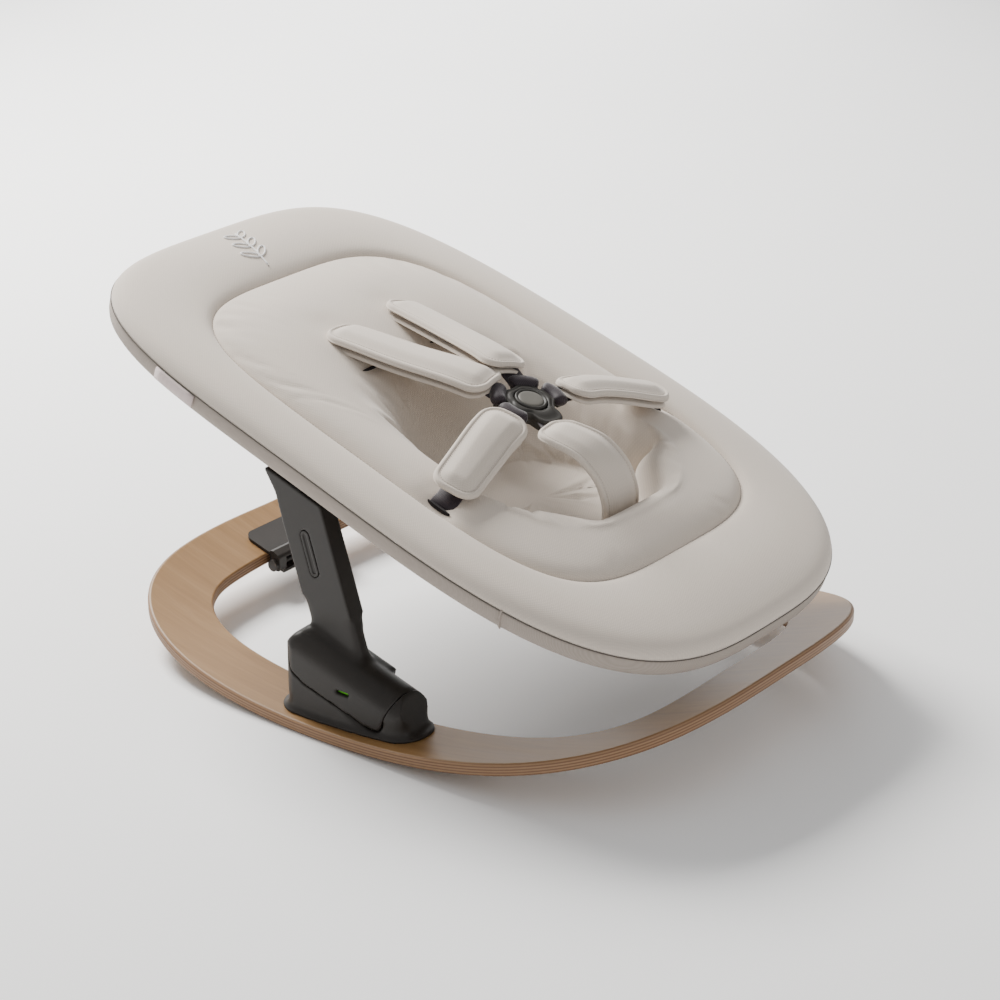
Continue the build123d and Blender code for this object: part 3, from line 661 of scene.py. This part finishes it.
def inlay_rows():
    """The raised inlay from its stitched border to the middle of the well."""
    seam, rim, floor = outline(INLAY_EDGE), outline(WELL_RIM), outline(WELL_FLOOR)
    edge, front = crease()
    width = np.linalg.norm(rim - seam, axis=1)
    rows = []
    for t in (0.0, 0.01, 0.025, 0.05, 0.09, 0.14, 0.21, 0.3, 0.42, 0.55, 0.68, 0.8, 0.9):
        away = width * t
        n = SEAM_N + (INLAY_TOP - SEAM_N) * (1 - np.exp(-((away / 7.5) ** 1.15)))
        rows.append(row(seam * (1 - t) + rim * t, n))
    start = rows[-1][:, :2]
    weight = front[:, None]
    steps = np.linspace(0, 1, 34)
    for t in steps[1:]:
        index = np.linspace(0, 1, len(FRONT_PLACE))
        place, height = np.interp(t, index, FRONT_PLACE), np.interp(t, index, FRONT_N)
        side_xs = start * (1 - t) + floor * t
        side_n = INLAY_TOP + (floor_height(floor[:, 1]) - INLAY_TOP) * smoothstep(t) ** 1.15
        front_xs = start * (1 - place) + edge * place
        xs = side_xs * (1 - weight) + front_xs * weight
        n = side_n * (1 - front) + height * front
        gather = np.exp(-(((np.abs(ANGLES - np.pi) - 1.0) / 0.28) ** 2))
        gather = gather * np.sin(np.pi * np.clip(t * 1.15, 0, 1))
        n = n + gather * (1.5 * np.sin(ANGLES * 31) + 0.9 * np.sin(ANGLES * 53 + 4 * t))
        rows.append(row(xs, n))
    last, middle = rows[-1][:, :2], np.array([0, -100])
    start_n = rows[-1][:, 2]
    for t in (0.03, 0.08, 0.16, 0.3, 0.45, 0.6, 0.75, 0.88, 0.96):
        xs = last * (1 - t) + middle * t
        target = floor_height(xs[:, 1]) - 3
        settle = smoothstep(t / 0.3)
        groove = 2.6 * np.exp(-(((t - 0.05) / 0.05) ** 2))
        rows.append(row(xs, start_n * (1 - settle) + target * settle - groove))
    return rows


# Seams up the well's walls as (start, end, depth).
DARTS = (((16, -118), (70, -114), 3.4), ((16, -126), (52, -142), 3.0), ((52, -50), (86, 20), 2.2))


def darts(rows):
    """Creases of the seams that run from the well's floor up its walls."""
    x, s = rows[..., 0], rows[..., 1]
    for side in (-1, 1):
        for start, end, deep in DARTS:
            a, b = np.array([side * start[0], start[1]]), np.array([side * end[0], end[1]])
            run = b - a
            t = np.clip(((x - a[0]) * run[0] + (s - a[1]) * run[1]) / (run @ run), 0, 1)
            away = np.hypot(x - a[0] - t * run[0], s - a[1] - t * run[1])
            fade = np.sin(np.pi * np.clip(0.12 + t * 0.8, 0, 1))
            rows[..., 2] -= deep * fade * np.exp(-((away / 2.6) ** 2))
            rows[..., 2] += 0.5 * deep * fade * np.exp(-(((away - 8) / 4) ** 2))
    return rows


def rows_held(piece, free_rows):
    """The vertices of a cover outside the rows that are free to swell."""
    return [i for i in range(len(piece.data.vertices)) if i // COLUMNS not in free_rows]


def make_topper():
    top = dents(np.array(topper_rows()))
    under = [row(outline(INLAY_EDGE, -2), 1.0), row(outline(SEAT_EDGE, 28), 0.5),
             row(outline(SEAT_EDGE, 3), 0.0)]
    piece = skin("seat_topper", on_seat(np.concatenate([top, np.array(under)])), closed_rows=True)
    finish_piece(piece, "seat", MATERIALS["cover"], ["topper_pad"])
    swell_later(piece, 1.2, 2.5, rows_held(piece, range(7, len(top) - 2)))
    return piece


def make_inlay():
    top = darts(dents(np.array(inlay_rows())))
    under = top[::-4].copy()
    under[..., 2] -= 7
    under[-1, :, 2] = SEAM_N - 5
    piece = skin("seat_inlay", on_seat(np.concatenate([under, top])), cap_start=True, cap_end=True)
    finish_piece(piece, "seat", MATERIALS["cover"], ["inlay_pad", "well_liner"])
    swell_later(piece, 3.0, 6.0, rows_held(piece, range(len(under) + 2, len(under) + len(top) - 10)))


def make_band():
    """The darker woven side wall below the piping, rolled under at its foot."""
    rows = []
    for inset, n in ((0.9, -0.6), (0.2, -3), (-0.3, -8), (-0.2, -12.5), (0.6, -16.4), (2.4, -19.0),
                     (5.5, -20.2), (10, -20.7), (10, -19.1), (6, -18.6), (3.6, -16), (3, -12), (3, -3),
                     (3.4, -0.6)):
        rows.append(row(outline(SEAT_EDGE, inset), n))
    piece = skin("side_wall", on_seat(rows), closed_rows=True)
    finish_piece(piece, "seat", MATERIALS["band"], ["side_band"])


def make_sling():
    """The seat's underside: a stretched sheet with the well hanging from it."""
    rows = []
    for inset, n in ((8, -20.3), (26, -20.6), (38, -18.8), (52, -13), (66, -9), (80, -8)):
        rows.append(row(outline(SEAT_EDGE, inset), n))
    rim, floor = outline(WELL_RIM, -14), outline(WELL_FLOOR, -12)
    start = rows[-1][:, :2]
    for t in (0.4, 0.8, 1.0):
        rows.append(row(start * (1 - t) + rim * t, -8.5))
    for t in np.linspace(0, 1, 14)[1:]:
        rows.append(row(rim * (1 - t) + floor * t, -8.5 - 57.5 * smoothstep(t)))
    middle = np.array([0, WELL_FLOOR[0]])
    for t in (0.3, 0.6, 0.9):
        rows.append(row(floor * (1 - t) + middle * t, -66 - 1 * t))
    outer = np.array(rows)
    inner = outer[::-1].copy()
    inner[..., 2] += 1.6
    piece = skin("seat_underside", on_seat(np.concatenate([outer, inner])), closed_rows=True)
    finish_piece(piece, "seat", MATERIALS["sling"], ["seat_sling"])


def make_piping():
    line = on_seat(row(outline(SEAT_EDGE, -0.2), -0.3))
    piece = joined("edge_piping", [tube(line, 0.65 * MM, 8, True)])
    finish_piece(piece, "seat", MATERIALS["piping"])


def make_band_joins():
    """The overlapped edges where the side wall's two lengths of webbing meet, towards the foot."""
    parts = []
    for side in (-1, 1):
        edge = outline(SEAT_EDGE, -0.5)
        index = min((i for i in range(COLUMNS) if edge[i, 0] * side > 0), key=lambda i: abs(edge[i, 1] + 233))
        x, s = edge[index]
        line = [(x, s, 0.6), (x, s, -4), (x, s - 0.5, -9), (x, s - 1, -14), (x - side * 1.0, s - 1.4, -17.2),
                (x - side * 3, s - 1.6, -19.9)]
        parts.append(tube(on_seat(curve_through(line, 24)), 1.1 * MM, 8, up=ALONG))
    piece = joined("side_wall_joins", parts)
    finish_piece(piece, "seat", MATERIALS["band"])


def make_inlay_stitching():
    line = on_seat(row(outline(INLAY_EDGE), SEAM_N + 0.25))
    line = np.vstack([line, line[:1]])
    line = evenly(line, 900)
    piece = joined("inlay_stitching", [stitches(line, 3.4 * MM, 1.0 * MM, 0.42 * MM, NORMAL)])
    finish_piece(piece, "seat", MATERIALS["thread"])


# ---- Harness ----
def across_of(path):
    """The direction across a strap that runs in the seat's plane from its first to its last point."""
    run = np.array(path[-1], float) - np.array(path[0], float)
    across = np.array([run[1], -run[0], 0.0])
    across /= np.linalg.norm(across)
    return across[0] * np.array([1.0, 0, 0]) + across[1] * ALONG


PAD_CORNER = 20.0
EDGE_STEPS = (0, 0.25, 0.7, 1.4, 2.3, 3.3, 4.2, 4.9, 5.4, 6.0, 7.0, 8.5, 10.5, 13, 16.5)


def bound_edge(e, thick):
    """Height of a pad over its border: the rolled binding, the groove of its seam, then the soft middle."""
    roll = 4.2 * np.sqrt(np.clip(1 - ((e - 3.0) / 3.0) ** 2, 0, 1))
    body = (3.3 + (thick - 3.3) * smoothstep((e - 5) / 14)) * smoothstep((e - 4.4) / 1.5)
    return np.maximum(roll, body)


def pad_frames(path, places, hint, roll):
    """Points, sides and lifts of a pad at distances along its centreline."""
    dense = on_seat(curve_through(path, 200))
    run = np.concatenate([[0], np.cumsum(np.linalg.norm(np.diff(dense, axis=0), axis=1))])
    wanted = (places - places[0]) / (places[-1] - places[0]) * run[-1]
    line = np.stack([np.interp(wanted, run, dense[:, k]) for k in range(3)], axis=1)
    tangent = directions(dense)
    tangent = np.stack([np.interp(wanted, run, tangent[:, k]) for k in range(3)], axis=1)
    tangent /= np.linalg.norm(tangent, axis=1)[:, None]
    side = hint - (tangent @ hint)[:, None] * tangent
    side /= np.linalg.norm(side, axis=1)[:, None]
    lift = np.cross(side, tangent)
    turn = np.radians(np.interp(wanted, (0, run[-1]), roll))[:, None]
    return line, side * np.cos(turn) + lift * np.sin(turn), lift * np.cos(turn) - side * np.sin(turn)


def pad_length(path):
    dense = curve_through(path, 200)
    return np.linalg.norm(np.diff(dense, axis=0), axis=1).sum()


def pad_layer(name, path, width, thick, droop, roll, hint, ends=(1, 1), shift=0.0, plain=False):
    """One layer of a pad: a rounded rectangle of padded cloth bent along its path."""
    half_length = pad_length(path) / 2
    steps = np.array(EDGE_STEPS)
    corner_steps = np.concatenate([steps, [20]])
    inner = np.linspace(20, half_length, 26)[1:]
    from_end = np.concatenate([corner_steps, inner])
    along = np.concatenate([from_end - half_length, (half_length - from_end)[::-1][1:]])
    line, side, lift = pad_frames(path, along, hint, roll)
    width_here = width / 2 * np.interp(along, (-half_length, half_length), ends)
    beyond = np.clip(np.abs(along) - (half_length - PAD_CORNER), 0, PAD_CORNER)
    half = width_here - PAD_CORNER + np.sqrt(np.maximum(PAD_CORNER**2 - beyond**2, 0))
    parts = np.concatenate([1 - steps / (width / 2), np.linspace(1 - steps[-1] / (width / 2), 0, 6)[1:]])
    columns = np.concatenate([-parts, parts[::-1][1:]])
    v = half[:, None] * columns[None, :]
    far_v = np.abs(v) - (width_here[:, None] - PAD_CORNER)
    far_u = np.abs(along)[:, None] - (half_length - PAD_CORNER) + 0 * v
    edge = PAD_CORNER - np.hypot(np.maximum(far_v, 0), np.maximum(far_u, 0))
    edge = edge - np.minimum(np.maximum(far_v, far_u), 0)
    edge = np.maximum(edge, 0)
    sag = shift - droop * (v / (width / 2)) ** 2
    puff = np.minimum(thick, 1.6 * edge) if plain else bound_edge(edge, thick)
    flat = line[:, None] + side[:, None] * (v * MM)[..., None]
    top = flat + lift[:, None] * ((sag + puff) * MM)[..., None]
    under = 2.6 * np.sqrt(np.clip(1 - ((edge - 3.0) / 3.0) ** 2, 0, 1))
    under = np.minimum(edge, 1.4) if plain else np.maximum(under, 1.4 * smoothstep((edge - 3) / 1.5))
    low = flat + lift[:, None] * ((sag - under) * MM)[..., None]
    return skin(name, np.concatenate([top, low[:, ::-1]], axis=1), cap_start=True, cap_end=True)


def pad_seam(path, width, droop, roll, hint, ends, inset=6.4):
    """The line of stitching just inside a pad's binding."""
    half_length = pad_length(path) / 2
    corner = PAD_CORNER - inset
    a, b = half_length - PAD_CORNER, width / 2 - PAD_CORNER
    turns = np.linspace(0, 2 * np.pi, 160, endpoint=False)
    u = np.sign(np.cos(turns)) * a + corner * np.cos(turns)
    v = np.sign(np.sin(turns)) * b + corner * np.sin(turns)
    loop = evenly(np.column_stack([u, v, 0 * u])[list(range(160)) + [0]], 260)
    order = np.argsort(loop[:, 0])
    places = np.concatenate([[-half_length], loop[order, 0], [half_length]])
    line, side, lift = pad_frames(path, places, hint, roll)
    back = np.empty(len(order), int)
    back[order] = np.arange(1, len(order) + 1)
    line, side, lift = line[back], side[back], lift[back]
    across = loop[:, 1] * np.interp(loop[:, 0], (-half_length, half_length), ends)
    height = 3.35 - droop * (across / (width / 2)) ** 2
    return line + side * (across * MM)[:, None] + lift * (height * MM)[:, None], lift


# Pads as (path, width, middle thickness, droop, roll at each end, width at each end).
PADS = {
    "left_shoulder_pad": ([(-43, 161, 22), (-40, 130, 29), (-35, 70, 41), (-26, 10, 54), (-18, -27, 58)],
                          58, 7.5, 3.5, (8, 2), (1.0, 1.04)),
    "right_shoulder_pad": ([(56, 164, 22), (52, 130, 29), (41, 70, 42), (27, 15, 56), (18, -19, 61)],
                           56, 7.5, 3.0, (14, 12), (0.96, 1.02)),
    "left_hip_pad": ([(-168, -104, 30), (-150, -99, 34), (-118, -90, 42), (-80, -80, 53), (-46, -73, 58)],
                     53, 7.5, 3.5, (-6, 0), (0.94, 1.04)),
    "right_hip_pad": ([(38, -74, 61), (74, -80, 57), (110, -90, 49), (146, -101, 39), (172, -107, 33)],
                      50, 7.5, 3.0, (14, 10), (1.0, 0.98)),
    "crotch_pad": ([(-24, -100, 50), (-20, -122, 55), (-11, -150, 53), (-3, -174, 39), (2, -189, 18),
                    (4, -195, -3), (4, -197, -25)], 56, 6.0, 0.6, (0, 0), (0.98, 1.02)),
}


def pad_held(piece):
    """A pad's underside and binding, which do not swell."""
    count = len(piece.data.vertices) - 2
    across = 2 * (2 * (len(EDGE_STEPS) + 5) - 1)
    rows = count // across
    half = across // 2
    border = len(EDGE_STEPS) - 4
    held = [i * across + j for i in range(rows) for j in range(across)
            if j >= half or j < border or j >= half - border or i < border or i >= rows - border]
    return held + [count, count + 1]


def make_pads():
    for name, (path, width, thick, droop, roll, ends) in PADS.items():
        hint = np.array([-1.0, 0, 0]) if name == "crotch_pad" else across_of(path)
        upper = pad_layer(name + "_sleeve", path, width, thick, droop, roll, hint, ends)
        finish_piece(upper, "seat", MATERIALS["pad"], [name])
        swell_later(upper, 5.0, 5.0, pad_held(upper))
        line, lift = pad_seam(path, width, droop, roll, hint, ends)
        thread = joined(name + "_stitching", [stitches(line, 2.4 * MM, 0.8 * MM, 0.3 * MM, lift)])
        finish_piece(thread, "seat", MATERIALS["thread"])
        if name != "crotch_pad":
            lower = path[1:] if name == "left_hip_pad" else path
            flap = pad_layer(name + "_flap", lower, width - 5, 2.2, droop + 2, roll, hint, ends, -7.5, True)
            finish_piece(flap, "seat", MATERIALS["pad"])


STRAP_WIDTH, STRAP_THICK, STRAP_STEPS = 25.0, 1.8, 70
STRAPS = {
    "left_shoulder_strap": [(-49, 168, 0), (-49, 167, 10), (-47, 156, 16), (-38, 70, 37), (-27, 5, 51),
                            (-20, -32, 49)],
    "right_shoulder_strap": [(49, 168, 0), (50, 167, 10), (54, 156, 18), (41, 70, 38), (28, 10, 52),
                             (18, -30, 49)],
    "left_hip_strap": [(-171, -100, 2), (-168, -100, 11), (-160, -100, 17), (-146, -97, 24),
                       (-118, -90, 38), (-70, -77, 50), (-38, -70, 48)],
    "right_hip_strap": [(171, -101, 2), (170, -102, 13), (165, -103, 23), (150, -101, 33),
                        (112, -90, 44), (70, -78, 52), (38, -68, 48)],
    "crotch_strap": [(-4, -84, 47), (-19, -122, 50), (-11, -147, 48), (-3, -169, 35), (2, -183, 16),
                     (4, -189, -4), (4, -191, -27)],
}


def strap(name, path, hint):
    """Flat webbing along a path, with softened edges."""
    line = on_seat(curve_through(path, STRAP_STEPS))
    tangent = directions(line)
    side = np.array([hint - (hint @ t) * t for t in tangent])
    side /= np.linalg.norm(side, axis=1)[:, None]
    lift = np.cross(side, tangent)
    profile = [(-1, -0.3), (-0.94, -1), (0.94, -1), (1, -0.3), (1, 0.3), (0.94, 1), (-0.94, 1), (-1, 0.3)]
    rows = [[line[i] + side[i] * (a * STRAP_WIDTH / 2 * MM) + lift[i] * (b * STRAP_THICK / 2 * MM)
             for a, b in profile] for i in range(STRAP_STEPS)]
    return skin(name, rows, cap_start=True, cap_end=True)


def make_straps():
    for name, path in STRAPS.items():
        hint = np.array([1.0, 0, 0]) if name == "crotch_strap" else across_of(path)
        piece = strap(name + "_webbing", path, hint)
        finish_piece(piece, "seat", MATERIALS["webbing"], [name])


def lathe(name, profile, shape=None, count=96):
    """A piece turned about the buckle's axis; shape(angle, radius) may push its outline out."""
    angles = 2 * np.pi * np.arange(count) / count
    rows = []
    for radius, n in profile:
        reach = np.full(count, float(radius)) if shape is None else shape(angles, radius)
        rows.append(np.column_stack([reach * np.sin(angles), BUCKLE_S + reach * np.cos(angles),
                                     np.full(count, float(n))]))
    return skin(name, on_seat(np.array(rows), bowed=False), cap_start=True, cap_end=True)


TONGUES = {"right_shoulder": 52, "left_shoulder": 128, "right_hip": -8, "left_hip": 188}


def buckle_outline(angles, radius):
    """A disc with a lobe at every tongue and a long shield towards the crotch strap."""
    turn = np.degrees(np.pi / 2 - angles)
    out = smoothstep((radius - 16) / 8)
    reach = np.full(len(angles), float(radius))
    for aim in (*TONGUES.values(), 262):
        off = (turn - aim + 180) % 360 - 180
        reach += (15.0 if aim == 262 else 4.5) * out * np.exp(-((off / (30 if aim == 262 else 24)) ** 4))
    return reach


def make_buckle():
    shell = lathe("buckle_shell", [(17.4, 41), (17.4, 52.0), (17.8, 53.0), (19.0, 53.4), (20.4, 52.6),
                                   (21.2, 51.4), (22.4, 51.8), (23.6, 52.2), (24.8, 51.0), (25.4, 48.5),
                                   (25.4, 45.6), (24.9, 44.9), (24.9, 44.1), (25.3, 43.4), (25.2, 40),
                                   (23, 38.2), (12, 38)], buckle_outline)
    finish_piece(shell, "seat", MATERIALS["rim"], ["buckle_back", "buckle_front"])
    cap = lathe("buckle_push", [(13.7, 53.2), (14.2, 53.9), (15.2, 54.5), (16.2, 54.3), (16.9, 53.0),
                                (17.0, 49), (15, 48.6)])
    finish_piece(cap, "harness_button", MATERIALS["rim"], ["buckle_button"])
    face = lathe("buckle_push_face", [(6, 54.5), (10, 54.4), (12.4, 54.1), (13.3, 53.4), (13.4, 51)])
    finish_piece(face, "harness_button", MATERIALS["button"])


def make_rolls():
    """Webbing doubled back through each tongue: a short soft roll curved around the buckle."""
    for name, aim in TONGUES.items():
        rows = []
        for t in np.linspace(-1, 1, 28):
            turn = math.radians(aim + 27 * t)
            out = np.array([math.cos(turn), math.sin(turn), 0])
            centre = np.array([0, BUCKLE_S, BUCKLE_N + 12.0]) + out * 34.0
            size = max((1 - abs(t) ** 7) ** 0.5 if abs(t) < 1 else 0.0, 0.12)
            up = np.array([0, 0, 1.0])
            rows.append([centre + out * math.cos(a) * 8.2 * size + up * math.sin(a) * 6.6 * size
                         for a in 2 * np.pi * np.arange(24) / 24])
        piece = skin(name + "_roll", on_seat(np.array(rows), bowed=False), cap_start=True, cap_end=True)
        finish_piece(piece, "seat", MATERIALS["webbing"])


# Strap openings as (place, x, s, half size across, half size along, height).
SLOTS = (("upper", 50, 169, 20, 3.0, 12.8), ("lower", 53, 98, 15, 1.1, 14.4),
         ("hip", 172.5, -100, 1.5, 14.5, 10.8))


def make_slots():
    """Near-black plugs that fill the openings the straps pass through: painted shade standing in for the dark
    inside of each hole.
    """
    for side, word in ((-1, "left"), (1, "right")):
        for label, x, s, half_x, half_s, n in SLOTS:
            turns = 2 * np.pi * np.arange(40) / 40
            rows = []
            for size, rise in ((1.0, -3), (1.0, 0.6), (0.9, 0.9), (0.5, 0.7)):
                rows.append(np.column_stack([side * x + half_x * size * np.sin(turns),
                                             s + half_s * size * np.cos(turns), np.full(40, n + rise)]))
            # each opening is filled with a closed near-black plug: painted shade, not a hole
            piece = skin(f"{word}_{label}_slot", on_seat(np.array(rows)), cap_start=True, cap_end=True)
            finish_piece(piece, "seat", MATERIALS["slot"])


# ---- Cloth simulation ----
SWOLLEN = []


def swell_later(piece, pressure, cap, held):
    """Queues a cover for the cloth simulation: its pressure, its largest move in mm, its held vertices."""
    SWOLLEN.append((piece, pressure, cap, held))


def mesh_points(mesh):
    points = np.empty(len(mesh.vertices) * 3)
    mesh.vertices.foreach_get("co", points)
    return points.reshape(-1, 3)


def swell():
    """Fills the covers: a short cloth simulation under inner pressure, then baked into their meshes."""
    scene, frames = bpy.context.scene, 16
    for piece, pressure, _, held in SWOLLEN:
        group = piece.vertex_groups.new(name="seams")
        group.add(held, 1.0, "REPLACE")
        cloth = piece.modifiers.new("cloth", "CLOTH")
        cloth.settings.quality = 5
        cloth.settings.mass = 0.2
        cloth.settings.tension_stiffness = cloth.settings.compression_stiffness = 12
        cloth.settings.bending_stiffness = 0.4
        cloth.settings.use_pressure = True
        cloth.settings.uniform_pressure_force = pressure
        cloth.settings.effector_weights.gravity = 0
        cloth.settings.vertex_group_mass = "seams"
        cloth.collision_settings.use_collision = False
        cloth.point_cache.frame_start, cloth.point_cache.frame_end = 1, frames
    for number in range(1, frames + 1):
        scene.frame_set(number)
    graph = bpy.context.evaluated_depsgraph_get()
    for piece, _, cap, _ in SWOLLEN:
        before = mesh_points(piece.data)
        after = mesh_points(piece.evaluated_get(graph).data)
        move = after - before
        far = np.linalg.norm(move, axis=1)
        move *= np.minimum(1, cap * MM / np.maximum(far, 1e-9))[:, None]
        piece.modifiers.clear()
        piece.vertex_groups.clear()
        piece.data.vertices.foreach_set("co", (before + move).ravel())
        piece.data.update()
    scene.frame_set(1)


# ---- Small details ----
def make_tag():
    """A plain folded ribbon sewn under the piping near the head, open at its head end."""
    place = outline(SEAT_EDGE, -1.4)
    near = sorted((i for i in range(COLUMNS) if place[i, 0] < 0 and 168 < place[i, 1] < 232),
                  key=lambda k: place[k, 1])
    rows = []
    for i in near:
        x, s = place[i]
        rows.append([(x + 0.6, s, -1.2), (x - 1.0, s, -1.9), (x - 1.8, s, -4.5), (x - 2.0, s, -9),
                     (x - 1.9, s, -13.2), (x - 1.2, s, -14.6), (x - 0.3, s, -13.4), (x - 0.1, s, -9),
                     (x + 0.1, s, -4)])
    piece = skin("side_ribbon", on_seat(np.array(rows)), cap_start=True, cap_end=True)
    finish_piece(piece, "seat", MATERIALS["tag"], ["side_tag"])


def lay_on(piece, points, rise):
    """Points (across, along) dropped onto a piece's surface from above, and lifted by rise mm."""
    faces = [list(face.vertices) for face in piece.data.polygons]
    tree = BVHTree.FromPolygons(mesh_points(piece.data).tolist(), faces)
    laid = []
    for across, along in points:
        above = on_seat((across, along, 60.0))
        spot, _, _, _ = tree.ray_cast(Vector(above), PRESS)
        laid.append(np.array(spot) + NORMAL * rise * MM)
    return np.array(laid)


def make_motif(topper):
    """A small embroidered sprig at the head end."""
    parts = []
    centre = np.array([-4.0, 327.0])
    size = 1.35

    def thread(points):
        line = lay_on(topper, np.array(points) * size + centre, 0.6)
        parts.append(tube(line, 1.0 * MM, 8))

    stem = [(24 * math.sin(t * 0.5), -24 + 48 * t) for t in np.linspace(0, 1, 20)]
    thread(stem)
    for t, turn in ((0.25, 1), (0.25, -1), (0.55, 1), (0.55, -1), (0.85, 1), (0.85, -1)):
        base = np.array([24 * math.sin(t * 0.5), -24 + 48 * t])
        aim = math.radians(90 - turn * 52)
        reach = 17 - 5 * t
        leaf = []
        for u in np.linspace(0, 1, 26):
            v = 2 * np.pi * u
            along = reach * (1 - math.cos(v)) / 2
            wide = 2.9 * math.sin(v)
            leaf.append(base + np.array([math.cos(aim), math.sin(aim)]) * along
                        + np.array([-math.sin(aim), math.cos(aim)]) * wide)
        thread(leaf)
    piece = joined("head_motif", parts)
    finish_piece(piece, "seat", MATERIALS["motif"])


make_camera()
make_studio()
dress_frame()
make_posts()
seat_topper = make_topper()
make_inlay()
make_band()
make_sling()
make_piping()
make_band_joins()
make_inlay_stitching()
make_pads()
make_straps()
make_buckle()
make_rolls()
make_slots()
make_tag()
swell()
make_motif(seat_topper)
